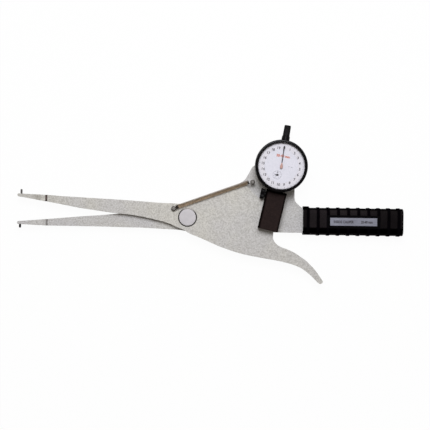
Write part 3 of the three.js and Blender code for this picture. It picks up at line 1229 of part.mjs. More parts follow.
piece(guardHousing, 'stem_clamp', stemClamp(), BLACK_METAL);
piece(guardHousing, 'clamp_knob', clampKnob(), BLACK_PLASTIC);
CLAMP_SCREW_HEIGHTS.forEach((height, number) => {
  piece(guardHousing, `clamp_block_screw_${number + 1}`, screwFromBack(CLAMP_SCREW_X, height,
    CLAMP_SCREW_RADIUS, CLAMP_SCREW_HEAD_RADIUS, CLAMP_SCREW_HEAD, CLAMP_SCREW_BITE), STEEL);
});
piece(guardHousing, 'spindle_guard', spindleGuard(), BLACK_PLASTIC);
GUARD_SCREW_HEIGHTS.forEach((height, number) => {
  piece(guardHousing, `guard_screw_${number + 1}`, screwFromBack(guardLegX, height,
    GUARD_SCREW_RADIUS, GUARD_SCREW_HEAD_RADIUS, GUARD_SCREW_HEAD, GUARD_SCREW_BITE), STEEL);
});

// Anvil: a bracket on the arm that the contact point rests on
const ANVIL_HALF_WIDTH = 3;
const ANVIL_PAD = 2.2;
const ANVIL_FOOT = 2;
const ANVIL_FOOT_LENGTH = 3.8;
const ANVIL_RISE = 2;
const ANVIL_FRONT = AXIS_LEVEL + ANVIL_RISE;
const ANVIL_SCREW_RADIUS = 1;
const ANVIL_SCREW_HEAD_RADIUS = 1.5;
const ANVIL_SCREW_HEAD = 1.2;
const ANVIL_SCREW_BITE = 4;
const ANVIL_SCREW_X = -ANVIL_HALF_WIDTH - ANVIL_FOOT_LENGTH / 2;
const ANVIL_SCREW_Y = ANVIL_TOP - ANVIL_PAD / 2;

function anvil() {
  const pad = block(-ANVIL_HALF_WIDTH, ANVIL_HALF_WIDTH, ANVIL_TOP - ANVIL_PAD, ANVIL_TOP,
    ARM_FRONT + SEAT_GAP, ANVIL_FRONT);
  const foot = block(-ANVIL_HALF_WIDTH - ANVIL_FOOT_LENGTH, 0, ANVIL_SCREW_Y - ANVIL_PAD, ANVIL_TOP,
    ARM_FRONT + SEAT_GAP, ARM_FRONT + SEAT_GAP + ANVIL_FOOT);
  return cut(join(pad, foot), standing(ANVIL_SCREW_RADIUS + BORE_GAP, ANVIL_SCREW_X, ANVIL_SCREW_Y,
    ARM_FRONT - OVERRUN, ARM_FRONT + ANVIL_FOOT + OVERRUN, SCREW_SIDES));
}

function anvilScrewHole() {
  const spot = placedIn(indicator, ANVIL_SCREW_X, ANVIL_SCREW_Y);
  return standing(ANVIL_SCREW_RADIUS + BORE_GAP, spot.x, spot.y, ARM_FRONT - ANVIL_SCREW_BITE - FIT_GAP,
    ARM_FRONT + OVERRUN, SCREW_SIDES);
}

function anvilScrew() {
  const seat = ARM_FRONT + 2 * SEAT_GAP + ANVIL_FOOT;
  return turned([
    [0, ARM_FRONT - ANVIL_SCREW_BITE], [ANVIL_SCREW_RADIUS, ARM_FRONT - ANVIL_SCREW_BITE],
    [ANVIL_SCREW_RADIUS, seat], [ANVIL_SCREW_HEAD_RADIUS, seat],
    [ANVIL_SCREW_HEAD_RADIUS, seat + ANVIL_SCREW_HEAD], [0, seat + ANVIL_SCREW_HEAD],
  ], SCREW_SIDES).translate(ANVIL_SCREW_X, ANVIL_SCREW_Y, 0);
}

piece(indicator, 'anvil', anvil(), STEEL);
piece(indicator, 'anvil_screw', anvilScrew(), STEEL);
piece(caliper, 'moving_arm', movingArm(), PAINTED);

// Frame: lower jaw, body, tower behind the dial and tang in the grip, in one plate
const FRAME_BOTTOM_Y = -14.7;
const FRAME_EDGE_START = 14;
const FRAME_EDGE_START_LIFT = 1.2;
const TOWER_SIDE_SHARES = [
  [0, 0], [0.285, 0.168], [0.415, 0.3], [0.49, 0.43], [0.59, 0.605], [0.685, 0.785], [1, 1],
];
const TOWER_SIDE_START = 70;
const TOWER_SIDE_LIFT = 2.6;
const TOWER_TOP_RADIUS = 22;
const TOWER_TOP_FROM = THREE.MathUtils.degToRad(167);
const TOWER_TOP_TO = THREE.MathUtils.degToRad(45);
const TOWER_TOP_STEPS = 8;
const TOWER_RIGHT_X = 112.5;
const TOWER_FILLET_TOP = 22.5;
const TOWER_FILLET_SHARES = [[0, 0], [0.09, 0.35], [0.42, 0.66], [0.85, 0.95], [1, 1]];
const TOWER_FILLET_BOTTOM = 11.6;

function frameOutline() {
  const jawTop = curve(scaled(LOWER_JAW_TOP_SHARES, -JAW_REACH, LOWER_JAW_DROP));
  const jawBottom = curve(scaled(LOWER_JAW_BOTTOM_SHARES, -JAW_REACH, LOWER_JAW_DROP));
  const corner = besideSpring(TOWER_SIDE_START, TOWER_SIDE_LIFT);
  const towerTop = arc(DIAL_X, DIAL_Y, TOWER_TOP_RADIUS, TOWER_TOP_FROM, TOWER_TOP_TO, TOWER_TOP_STEPS);
  const side = curve(TOWER_SIDE_SHARES.map(([along, up]) => new THREE.Vector2(
    corner.x + along * (towerTop[0].x - corner.x), corner.y + up * (towerTop[0].y - corner.y))));
  const shoulder = GRIP_START - FIT_GAP;
  const fillet = curve(TOWER_FILLET_SHARES.map(([along, down]) => new THREE.Vector2(
    TOWER_RIGHT_X + along * (shoulder - TOWER_RIGHT_X),
    TOWER_FILLET_TOP - down * (TOWER_FILLET_TOP - TOWER_FILLET_BOTTOM))));
  return [
    ...jawBottom.reverse(),
    new THREE.Vector2(shoulder, FRAME_BOTTOM_Y), new THREE.Vector2(shoulder, TANG_BOTTOM),
    new THREE.Vector2(TANG_END, TANG_BOTTOM), new THREE.Vector2(TANG_END, TANG_TOP),
    new THREE.Vector2(shoulder, TANG_TOP), ...fillet.reverse(), ...towerTop.reverse(),
    ...side.slice(0, -1).reverse(), besideSpring(FRAME_EDGE_START, FRAME_EDGE_START_LIFT),
    ...jawTop.reverse(),
  ];
}

function throughFrame(x, y, radius, sides = SCREW_SIDES) {
  return standing(radius + BORE_GAP, x, y, FRAME_BACK - OVERRUN, FRAME_FRONT + OVERRUN, sides);
}

function throughFrameAtGuard(x, y, radius) {
  const spot = placedIn(guardHousing, x, y);
  return throughFrame(spot.x, spot.y, radius);
}

function mainFrame() {
  return cut(plate(frameOutline(), FRAME_BACK, FRAME_FRONT),
    throughFrame(0, 0, PIVOT_THREAD_RADIUS, ROUND_SIDES),
    postHole(FRAME_POST_X, FRAME_POST_Y, FRAME_FRONT),
    standing(STOP_PIN_RADIUS + BORE_GAP, STOP_PIN_X, STOP_PIN_Y, FRAME_FRONT - STOP_PIN_STEM - FIT_GAP,
      FRAME_FRONT + OVERRUN, PIN_SIDES),
    ...GRIP_SCREW_SHARES.map((share, number) => throughFrame(gripScrewX(number), GRIP_Y, GRIP_SCREW_RADIUS)),
    ...GUARD_SCREW_HEIGHTS.map((height) => throughFrameAtGuard(guardLegX, height, GUARD_SCREW_RADIUS)),
    ...CLAMP_SCREW_HEIGHTS.map((height) => throughFrameAtGuard(CLAMP_SCREW_X, height, CLAMP_SCREW_RADIUS)));
}

piece(caliper, 'main_frame', mainFrame(), PAINTED);

// Placing: the origin is the middle of the footprint, at the level of the lowest point
caliper.updateMatrixWorld(true);
const reach = new THREE.Box3().setFromObject(caliper);
caliper.position.set(-(reach.min.x + reach.max.x) / 2, -(reach.min.y + reach.max.y) / 2, -reach.min.z);

export default caliper;
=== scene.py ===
"""Looks of an internal dial caliper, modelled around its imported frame.

Lengths are written in millimetres and become metres where a mesh is made.
Angles are written in degrees. Colours are written as 0 to 255 screen values.
"""

import logging
import math
from collections.abc import Callable, Iterator, Sequence
from contextlib import contextmanager
from dataclasses import dataclass, field, replace
from enum import Enum

import bmesh
import bpy
from mathutils import Matrix, Vector


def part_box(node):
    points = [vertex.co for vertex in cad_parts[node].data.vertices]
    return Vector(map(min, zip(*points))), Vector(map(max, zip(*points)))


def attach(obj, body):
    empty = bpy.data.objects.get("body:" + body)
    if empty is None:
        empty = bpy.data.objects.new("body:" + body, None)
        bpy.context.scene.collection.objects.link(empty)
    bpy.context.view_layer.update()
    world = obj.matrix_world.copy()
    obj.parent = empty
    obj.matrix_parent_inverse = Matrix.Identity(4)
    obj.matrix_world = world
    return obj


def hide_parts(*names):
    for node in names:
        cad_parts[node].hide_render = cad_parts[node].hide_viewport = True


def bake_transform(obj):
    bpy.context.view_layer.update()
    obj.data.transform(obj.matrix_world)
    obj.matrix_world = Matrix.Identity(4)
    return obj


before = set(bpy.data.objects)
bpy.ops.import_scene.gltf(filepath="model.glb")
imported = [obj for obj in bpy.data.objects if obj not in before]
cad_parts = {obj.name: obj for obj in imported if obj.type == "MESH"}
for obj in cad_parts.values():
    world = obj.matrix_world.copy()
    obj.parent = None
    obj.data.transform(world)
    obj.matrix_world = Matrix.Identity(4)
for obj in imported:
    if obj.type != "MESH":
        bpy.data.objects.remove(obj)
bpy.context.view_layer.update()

MM = 0.001
TINY = 1e-6
NOISE_SPAN = (0.3, 0.7)
EDGE_SPAN = (0.98, 0.8)
DIGIT_SHARE = 0.72
FLAT_ANGLE = 0.8
CREASE_SLACK = 5
FACE_WEIGHT = 80
LOG = logging.getLogger("dial_caliper")

Pair = tuple[float, float]
Triple = tuple[float, float, float]
Quad = tuple[float, float, float, float]
Profile = Sequence[Pair]
Piece = bpy.types.Object
Socket = bpy.types.NodeSocket
Inputs = dict[str | int, Socket | Vector | Quad | Triple | float]


def screen(red: float, green: float, blue: float) -> Quad:
    """Turns a screen colour into the linear colour that a shader takes.

    Args:
        red: Red from 0 to 255.
        green: Green from 0 to 255.
        blue: Blue from 0 to 255.

    Returns:
        The linear colour with full alpha.
    """
    linear = []
    for value in (red, green, blue):
        share = value / 255
        linear.append(share / 12.92 if share <= 0.04045 else ((share + 0.055) / 1.055) ** 2.4)
    return (linear[0], linear[1], linear[2], 1.0)


def scaled(colour: Triple, share: float) -> Triple:
    """Returns a screen colour with all three values multiplied."""
    red, green, blue = colour
    return (share * red, share * green, share * blue)


class Body(Enum):
    """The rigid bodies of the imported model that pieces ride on."""

    FRAME = "frame"
    FRONT_PLATE = "front_plate"
    POINTER = "pointer"
    COUNTER = "counter"
    RIM = "rim"
    KNOB = "knob"


class Slot(Enum):
    """The record's material slots that the new pieces belong to."""

    PLATE = "painted_plate"
    JAW_STEEL = "jaw_steel"
    BRAZE = "braze"
    DARK_STEEL = "dark_steel"
    SCREW_STEEL = "screw_steel"
    BRASS = "bush_brass"
    SPRING = "spring_wire"
    BLACK_PLASTIC = "black_plastic"
    BLACK_METAL = "black_metal"
    DIAL = "dial_paint"
    HAND = "hand_paint"
    LABEL = "label_silver"
    CRYSTAL = "clear_crystal"


def add_node(tree: bpy.types.NodeTree, kind: str, inputs: Inputs | None = None,
             **settings: str | int) -> bpy.types.Node:
    """Adds a shader node with its inputs linked or set.

    Args:
        tree: The node tree it goes into.
        kind: The node's type, without the first part that all shader nodes share.
        inputs: A socket to link or a value to set for each input, by name or number.
        settings: The node's own settings.

    Returns:
        The node.
    """
    node = tree.nodes.new(f"ShaderNode{kind}")
    for name, value in settings.items():
        setattr(node, name, value)
    for name, value in (inputs or {}).items():
        if isinstance(value, Socket):
            tree.links.new(value, node.inputs[name])
        else:
            node.inputs[name].default_value = value
    return node


class Surface:
    """A node material while it is put together."""

    def __init__(self, name: str) -> None:
        """Starts a material with one Principled shader.

        Args:
            name: The material's name.
        """
        self.material = bpy.data.materials.new(name)
        self.material.use_nodes = True
        self.tree = self.material.node_tree
        self.tree.nodes.clear()
        self.shader = self.add("BsdfPrincipled")
        self.output = self.add("OutputMaterial", {"Surface": self.shader.outputs["BSDF"]})
        self.coordinates = self.add("TexCoord").outputs["Object"]

    def add(self, kind: str, inputs: Inputs | None = None, **settings: str | int) -> bpy.types.Node:
        """Adds a node to this material, as add_node does."""
        return add_node(self.tree, kind, inputs, **settings)

    def fix(self, **values: float) -> None:
        """Sets shader sockets that are the same all over, named with underscores for spaces.

        Args:
            values: Socket names and their values.
        """
        for name, value in values.items():
            self.shader.inputs[name.replace("_", " ")].default_value = value

    def feed(self, socket: str, source: Socket) -> None:
        """Links a pattern into one of the shader's sockets."""
        self.tree.links.new(source, self.shader.inputs[socket])

    def fed(self, socket: str) -> Socket:
        """Returns the pattern that one of the shader's sockets takes."""
        return self.shader.inputs[socket].links[0].from_socket

    def ease(self, socket: str, share: Socket, least: float) -> None:
        """Multiplies what a shader socket takes, by 1 where the share is 0 and by the least where it is 1."""
        self.feed(socket, self.combine(self.fed(socket), self.spread(share, 0, 1, 1, least), "MULTIPLY"))

    def mapped(self, x: float = 0, y: float = 0, turn: float = 0, stretch: Triple = (1, 1, 1)) -> Socket:
        """Centres, turns and stretches the object's coordinates.

        Args:
            x: X of the pattern's middle in millimetres.
            y: Y of the pattern's middle.
            turn: Turn about the vertical in degrees.
            stretch: Scale along each turned axis.

        Returns:
            The mapped coordinates.
        """
        shift = self.add("VectorMath", {0: self.coordinates, 1: (x * MM, y * MM, 0)}, operation="SUBTRACT")
        mapping = self.add("Mapping", {
            "Vector": shift.outputs["Vector"], "Rotation": (0, 0, math.radians(-turn)), "Scale": stretch,
        }, vector_type="POINT")
        return mapping.outputs["Vector"]

    def noise(self, grain: float, detail: float = 3, source: Socket | None = None) -> Socket:
        """Adds a noise of a given grain.

        Args:
            grain: Rough width of one fleck in millimetres.
            detail: Number of finer layers.
            source: Coordinates to use instead of the object's own.

        Returns:
            The noise's factor.
        """
        node = self.add("TexNoise", {
            "Vector": source or self.coordinates, "Scale": 1 / (grain * MM), "Detail": detail})
        return node.outputs["Fac"]

    def radius(self, source: Socket) -> Socket:
        """Measures how far a point is from the pattern's vertical axis.

        Args:
            source: The point's mapped coordinates.

        Returns:
            A vector with the distance as its X.
        """
        flat = self.add("VectorMath", {0: source, 1: (1, 1, 0)}, operation="MULTIPLY")
        length = self.add("VectorMath", {0: flat.outputs["Vector"]}, operation="LENGTH")
        return self.add("CombineXYZ", {"X": length.outputs["Value"]}).outputs["Vector"]

    def spread(self, source: Socket, start: float, end: float, low: float, high: float) -> Socket:
        """Spreads a factor's span from start to end over low to high."""
        node = self.add("MapRange", {
            "Value": source, "From Min": start, "From Max": end, "To Min": low, "To Max": high})
        return node.outputs["Result"]

    def shades(self, source: Socket, stops: Sequence[tuple[float, Quad]]) -> Socket:
        """Colours a factor by a ramp.

        Args:
            source: The factor.
            stops: Places from 0 to 1 with their linear colours.

        Returns:
            The colour.
        """
        node = self.add("ValToRGB", {"Fac": source})
        elements = node.color_ramp.elements
        while len(elements) < len(stops):
            elements.new(0.5)
        for element, (place, colour) in zip(elements, stops):
            element.position = place
            element.color = colour
        return node.outputs["Color"]

    def paints(self, source: Socket, *stops: tuple[float, Triple]) -> Socket:
        """Colours a factor by a ramp of places with their screen colours."""
        return self.shades(source, [(place, screen(*colour)) for place, colour in stops])

    def blend(self, share: Socket | float, first: Socket, second: Socket, kind: str = "MIX") -> Socket:
        """Blends two colours by a share."""
        node = self.add("Mix", {"Factor": share, 6: first, 7: second}, data_type="RGBA", blend_type=kind)
        return node.outputs[2]

    def combine(self, first: Socket, second: Socket | float, operation: str = "ADD") -> Socket:
        """Combines two factors by a math operation."""
        return self.add("Math", {0: first, 1: second}, operation=operation).outputs["Value"]

    def relief(self, height: Socket, depth: float, strength: float) -> None:
        """Feeds a bump into the shader's normal.

        Args:
            height: The height pattern from 0 to 1.
            depth: Depth of the pattern in millimetres.
            strength: Strength from 0 to 1.
        """
        bump = self.add("Bump", {"Height": height, "Distance": depth * MM, "Strength": strength})
        self.feed("Normal", bump.outputs["Normal"])

    def edges(self, width: float) -> Socket:
        """Finds the edges of a piece, where its surface turns within a short way.

        Args:
            width: That way in millimetres.

        Returns:
            A factor that is 1 at sharp edges and 0 on flat faces.
        """
        rounded = self.add("Bevel", {"Radius": width * MM}, samples=4).outputs["Normal"]
        true = self.add("NewGeometry").outputs["Normal"]
        dot = self.add("VectorMath", {0: rounded, 1: true}, operation="DOT_PRODUCT")
        return self.spread(dot.outputs["Value"], *EDGE_SPAN, 0, 1)


@dataclass(frozen=True)
class Tone:
    """A change of brightness painted across a piece; most of these tones are painted shade.

    Attributes:
        centre: X and Y of its middle in millimetres.
        turn: Turn of its axes in degrees.
        axis: The turned axis that it changes along, X or Y.
        stops: Places along the axis in millimetres, each with the share of the brightness there.
    """

    centre: Pair
    turn: float
    axis: str
    stops: tuple[Pair, ...]

    def share(self, surface: Surface) -> Socket:
        """Measures the tone on a surface.

        Args:
            surface: The material to add it to.

        Returns:
            The share of the brightness.
        """
        split = surface.add("SeparateXYZ", {0: surface.mapped(*self.centre, self.turn)})
        first, last = self.stops[0][0], self.stops[-1][0]
        place = surface.spread(split.outputs[self.axis], first * MM, last * MM, 0, 1)
        return surface.shades(place, [
            ((spot - first) / (last - first), (share, share, share, 1)) for spot, share in self.stops])


@dataclass(frozen=True)
class Finish:
    """A surface finish: its colours, gloss and grain.

    Attributes:
        name: The material's name.
        colour: Main screen colour.
        shade: Screen colour of the darker flecks.
        light: Screen colour of the lighter flecks.
        metallic: Share of metal from 0 to 1.
        gloss: Lowest and highest roughness.
        grain: Width of the fine flecks in millimetres.
        cloud: Width of the broad mottling in millimetres.
        bump: Depth of the relief in millimetres.
        strength: Strength of the relief from 0 to 1.
        wear: Screen colour of worn edges.
        wear_width: Width of the wear at edges in millimetres, 0 for none.
        specular: Level of the sheen on what isn't metal, 0.5 for plain plastic.
        ior: Index of refraction, lower for a duller sheen at a glancing angle.
        tones: Painted changes of brightness across the piece, mostly painted shade.
        clouds: Two screen colours of the broad mottling, or nothing for shade and light.
        cloudiness: Lowest and highest share of the broad mottling.
    """

    name: str
    colour: Triple
    shade: Triple
    light: Triple
    metallic: float
    gloss: Pair
    grain: float
    cloud: float
    bump: float
    strength: float = 0.4
    wear: Triple = (150, 148, 145)
    wear_width: float = 0.0
    specular: float = 0.5
    ior: float = 1.45
    tones: tuple[Tone, ...] = ()
    clouds: tuple[Triple, Triple] | None = None
    cloudiness: Pair = (0.1, 0.3)

    def pattern(self, surface: Surface) -> Socket:
        """Makes the fine fleck pattern of this finish."""
        return surface.noise(self.grain, 4)

    def dress(self, surface: Surface) -> None:
        """Lays colour, gloss and relief on a surface.

        Args:
            surface: The material to fill.
        """
        fine = self.pattern(surface)
        broad = surface.noise(self.cloud, 2)
        fleck = surface.paints(fine, (0.34, self.shade), (0.5, self.colour), (0.66, self.light))
        low, high = self.clouds or (self.shade, self.light)
        cloudy = surface.paints(broad, (0.35, low), (0.65, high))
        colour = surface.blend(surface.spread(fine, *NOISE_SPAN, *self.cloudiness), fleck, cloudy)
        if self.wear_width:
            patches = surface.spread(broad, 0.42, 0.6, 0.15, 1)
            rubbed = surface.combine(surface.edges(self.wear_width), patches, "MULTIPLY")
            worn = surface.paints(fine, (0.3, self.wear), (0.7, scaled(self.wear, 0.9)))
            colour = surface.blend(rubbed, colour, worn)
        sheen = None
        # Each tone darkens the colour, mostly as painted shade, and dims the sheen with it.
        for tone in self.tones:
            share = tone.share(surface)
            colour = surface.blend(1, colour, share, "MULTIPLY")
            sheen = surface.combine(sheen, share, "MULTIPLY") if sheen else share
        surface.feed("Base Color", colour)
        mixed = surface.combine(
            surface.spread(fine, *NOISE_SPAN, 0, 0.6), surface.spread(broad, *NOISE_SPAN, 0, 0.4))
        surface.feed("Roughness", surface.spread(mixed, 0, 1, *self.gloss))
        surface.fix(Metallic=self.metallic, Specular_IOR_Level=self.specular, IOR=self.ior)
        if sheen:
            surface.feed("Specular IOR Level", surface.spread(sheen, 0, 1, 0, self.specular))
        surface.relief(fine, self.bump, self.strength)

    def material(self) -> bpy.types.Material:
        """Returns this finish's material, made once."""
        known = bpy.data.materials.get(self.name)
        if known:
            return known
        surface = Surface(self.name)
        self.dress(surface)
        return surface.material


@dataclass(frozen=True)
class TurnedFinish(Finish):
    """A finish with the fine rings that a lathe leaves about an axis.

    Attributes:
        centre: The axis in millimetres.
        ring: Rough spacing of the rings in millimetres.
    """

    centre: Pair = (0.0, 0.0)
    ring: float = 0.12

    def pattern(self, surface: Surface) -> Socket:
        """Makes rings about the axis with a little noise in them."""
        rings = surface.noise(self.ring, 2, surface.radius(surface.mapped(*self.centre)))
        return surface.spread(surface.combine(rings, surface.noise(self.grain, 3)), 0, 2, 0, 1)


@dataclass(frozen=True)
class BrushedFinish(Finish):
    """A finish brushed along one direction.

    Attributes:
        turn: Direction of the brushing in degrees from +X.
        pull: How many times longer than wide a scratch is.
    """

    turn: float = 0.0
    pull: float = 25.0

    def pattern(self, surface: Surface) -> Socket:
        """Makes long fine scratches."""
        return surface.noise(self.grain, 3, surface.mapped(turn=self.turn, stretch=(1 / self.pull, 1, 1)))


@dataclass(frozen=True)
class RibbedFinish(Finish):
    """A moulded finish with tones, whose ribs carry painted shade and are a little smoother, with less sheen,
    than the panels between them.

    Attributes:
        first: X of the first rib's middle in millimetres.
        pitch: Distance between ribs in millimetres.
        half: Half the width of a dark rib in millimetres.
        fade: Half the width of a dark rib's soft side in millimetres.
        rib: Screen colour of the painted shade on the ribs.
    """

    first: float = 113.6
    pitch: float = 10.6
    half: float = 1.6
    fade: float = 0.5
    rib: Triple = (4, 3, 5)

    def dress(self, surface: Surface) -> None:
        """Lays the plain finish, then paints shade along the ribs and smooths them.

        Args:
            surface: The material to fill.
        """
        super().dress(surface)
        across = surface.add("SeparateXYZ", {"Vector": surface.mapped(self.first)}).outputs["X"]
        fold = surface.combine(across, self.pitch / 2 * MM, "PINGPONG")
        share = surface.spread(fold, (self.half - self.fade) * MM, (self.half + self.fade) * MM, 1, 0)
        # smooth holds the painted shade on the ribs.
        smooth = surface.paints(surface.noise(self.cloud, 2), (0.3, self.rib), (0.7, scaled(self.rib, 1.6)))
        surface.feed("Base Color", surface.blend(share, surface.fed("Base Color"), smooth))
        surface.ease("Roughness", share, 0.85)
        surface.ease("Specular IOR Level", share, 0.05)


@dataclass(frozen=True)
class HookedFinish(Finish):
    """A wire finish with painted shade about the two hooks.

    Attributes:
        hooks: X, Y and level of both hooks' middles in millimetres.
        reach: Radius of the painted shade about each in millimetres.
        fade: Width of that part's soft rim in millimetres.
        hook_colour: Screen colour of the painted shade on the hooks.
    """

    hooks: tuple[Triple, ...] = ((-38.3, -5.909, 21.65), (44.2, 22.891, 21.65))
    reach: float = 5.6
    fade: float = 0.4
    hook_colour: Triple = (62, 52, 46)

    def dress(self, surface: Surface) -> None:
        """Lays the plain finish, then paints shade about the hooks.

        Args:
            surface: The material to fill.
        """
        super().dress(surface)
        near = None
        for hook in self.hooks:
            distance = surface.add(
                "VectorMath", {0: surface.coordinates, 1: Vector(hook) * MM}, operation="DISTANCE")
            rim = (self.reach * MM, (self.reach + self.fade) * MM)
            share = surface.spread(distance.outputs["Value"], *rim, 1, 0)
            near = surface.combine(near, share, "MAXIMUM") if near else share
        shaded_hooks = surface.paints(
            surface.noise(self.grain, 2), (0.3, scaled(self.hook_colour, 0.7)), (0.7, self.hook_colour))
        surface.feed("Base Color", surface.blend(near, surface.fed("Base Color"), shaded_hooks))


@dataclass(frozen=True)
class ClearFinish(Finish):
    """A clear sheet: only what it reflects covers what lies behind it.

    Attributes:
        smears: Lowest and highest share of the reflection that smears leave.
        span: Lowest and highest value of the noise that makes the smears.
    """

    smears: Pair = (0.85, 1.0)
    span: Pair = (0.3, 0.75)

    def dress(self, surface: Surface) -> None:
        """Lays a thin clear gloss with faint smears on a surface.

        Args:
            surface: The material to fill.
        """
        smear = surface.noise(self.cloud, 3)
        surface.feed("Base Color", surface.paints(smear, (0.3, self.shade), (0.7, self.light)))
        surface.feed("Roughness", surface.spread(smear, *self.span, *self.gloss))
        gloss = surface.add("Fresnel", {"IOR": self.ior}).outputs["Fac"]
        cover = surface.combine(gloss, surface.spread(smear, *self.span, *self.smears), "MULTIPLY")
        inside = surface.add("NewGeometry").outputs["Backfacing"]
        surface.feed("Alpha", surface.combine(cover, surface.spread(inside, 0, 1, 1, 0), "MULTIPLY"))
        surface.fix(Metallic=self.metallic)


PLATE_PAINT = Finish(
    "silver_plate_paint", (195, 192, 188), (167, 163, 158), (222, 220, 217), 0.15, (0.45, 0.62), 1.3, 34,
    0.05, 0.35, wear=(206, 204, 200), wear_width=0.35, specular=0.4,
    clouds=((194, 191, 184), (191, 189, 195)), cloudiness=(0.2, 0.5))
TRIGGER_PAINT = replace(
    PLATE_PAINT, name="silver_arm_paint", colour=(195, 192, 186), shade=(167, 163, 157),
    light=(222, 219, 214), cloud=38, wear=(206, 204, 199), clouds=((195, 191, 179), (191, 189, 192)))
PIN_STEEL = Finish(
    "carbide_pin", (88, 85, 84), (56, 53, 52), (128, 124, 121), 0.85, (0.22, 0.42), 0.3, 2, 0.01)
LOWER_PIN_STEEL = replace(
    PIN_STEEL, name="dark_carbide_pin", colour=(9, 8, 8), shade=(4, 4, 4), light=(20, 19, 19), metallic=0.0,
    gloss=(0.5, 0.7), specular=0.1)
BRAZE_METAL = Finish(
    "braze_metal", (98, 82, 78), (74, 60, 57), (126, 110, 104), 0.3, (0.5, 0.7), 0.5, 1.6, 0.06, specular=0.3,
    tones=(Tone((-173.4, 3.265), 0, "Y", (
        (-3.8, 0.4), (-2.2, 0.45), (-0.8, 1), (0.8, 1), (2.2, 0.5), (3.8, 0.45))),))
PALE_BRAZE = replace(
    BRAZE_METAL, name="pale_braze_metal", colour=(138, 134, 132), shade=(112, 108, 106),
    light=(164, 160, 158), tones=())
HEAD_STEEL = TurnedFinish(
    "turned_head_steel", (199, 195, 198), (183, 179, 182), (215, 211, 214), 0.1, (0.45, 0.6), 0.4, 5, 0.01,
    0.25, wear=(204, 202, 205), wear_width=0.2, centre=(-23.7, -15.009), ring=0.3)
# Painted shadow of the raised pivot head: dark round the ring, light at its top.
PIVOT_SHADOW_PAINT = Finish(
    "pivot_groove_painted_shadow", (188, 185, 182), (172, 168, 165), (204, 201, 198), 0.0, (0.7, 0.85), 0.3, 2, 0.01,
    specular=0.2, tones=(
        Tone((-23.7, -15.009), -8, "Y", ((-10.2, 0.1), (6.2, 0.1), (8.3, 0.85), (10.2, 1))),))
SCREW_STEEL = Finish(
    "screw_steel_dressed", (170, 169, 170), (138, 136, 136), (204, 204, 206), 0.9, (0.24, 0.42), 0.25, 2.5,
    0.01)
POST_STEEL = Finish(
    "post_steel", (128, 124, 120), (98, 94, 91), (158, 154, 150), 0.3, (0.55, 0.75), 0.3, 1.8, 0.01)
# The spring's tone is painted shade: darker across the coil's upper side. The hooks carry painted shade too.
SPRING_STEEL = HookedFinish(
    "spring_wire_painted_shade", (220, 194, 164), (176, 150, 122), (244, 224, 198), 0.45, (0.4, 0.6), 0.6, 7, 0.02,
    0.3, tones=(Tone((-38.3, -5.909), 19.24, "Y", ((-2.4, 1), (-0.7, 1), (0.9, 0.42), (2.4, 0.38))),))
BRASS = TurnedFinish(
    "movement_brass", (176, 142, 78), (146, 112, 56), (206, 174, 108), 0.9, (0.25, 0.45), 0.2, 3, 0.01, 0.3,
    centre=(73.25, 39.591), ring=0.2)
# The grip's first tone is painted shade: dark along its top edge, near black over its lower rounded edge,
# lighter towards the top. The second tone is darker over the collar and towards the right end.
GRIP_PLASTIC = RibbedFinish(
    "grip_plastic", (28, 23, 25), (19, 15, 17), (39, 34, 36), 0.0, (0.6, 0.75), 0.7, 9, 0.06, 0.3,
    wear=(36, 32, 34), wear_width=0.4, ior=1.16, tones=(
        Tone((0, -17.359), 0, "Y", (
            (-14.4, 0.5), (-12.6, 0.45), (-11.8, 0.02), (-7.2, 0.02), (-5.6, 0.85), (3, 0.9), (6.5, 0.95),
            (8.4, 1), (11.6, 1.0), (12.7, 0.12), (14.4, 0.1))),
        Tone((98.1, 0), 0, "X", ((0, 0.5), (5.6, 0.5), (7.5, 1), (60, 1), (80, 0.6), (105.2, 0.55)))))
# The guard's tones are painted shade: dark bands along both long sides, and a painted shadow of the bezel
# over its top end.
GUARD_PLASTIC = Finish(
    "guard_plastic", (38, 28, 27), (30, 21, 20), (47, 36, 34), 0.0, (0.62, 0.78), 0.9, 8, 0.05, 0.35,
    ior=1.16, tones=(
        Tone((64.5, -8.559), -12.5, "X", (
            (-10.7, 0.15), (-9.3, 0.25), (-8.2, 1), (8.6, 1), (9.5, 0.35), (10.7, 0.2))),
        Tone((64.5, -8.559), -12.5, "Y", (
            (-19, 0.8), (-17, 1), (14, 1), (19.5, 0.7), (21, 0.05), (22.6, 0.02)))))
BEZEL_BLACK = TurnedFinish(
    "bezel_black", (8, 6, 8), (4, 3, 4), (14, 12, 14), 0.0, (0.1, 0.18), 0.2, 4, 0.004, 0.2,
    wear=(20, 18, 20), wear_width=0.2, ior=1.2, centre=(73.25, 39.591), ring=0.4)
BED_BLACK = Finish(
    "bed_black", (4, 3, 5), (2, 2, 3), (8, 7, 9), 0.0, (0.7, 0.85), 0.4, 6, 0.01, specular=0.05)
CAP_BLACK = Finish(
    "cap_black", (10, 8, 10), (5, 4, 5), (18, 16, 18), 0.0, (0.3, 0.5), 0.2, 3, 0.01, 0.3,
    wear=(28, 26, 28), wear_width=0.2, ior=1.2)
RING_ENAMEL = Finish(
    "scale_enamel", (229, 226, 233), (223, 220, 227), (235, 232, 239), 0.0, (0.45, 0.6), 0.9, 9, 0.005, 0.2,
    specular=0.3)
FACE_ENAMEL = replace(
    RING_ENAMEL, name="face_enamel", colour=(226, 225, 235), shade=(220, 219, 229), light=(232, 230, 240))
DARK_INK = Finish("dark_ink", (46, 43, 50), (34, 31, 38), (66, 62, 72), 0.0, (0.5, 0.65), 0.15, 3, 0.003)
GREY_INK = replace(DARK_INK, name="grey_ink", colour=(96, 94, 104), shade=(80, 78, 88), light=(116, 114, 124))
RED_INK = replace(DARK_INK, name="red_ink", colour=(204, 106, 72), shade=(176, 78, 52), light=(220, 130, 96))
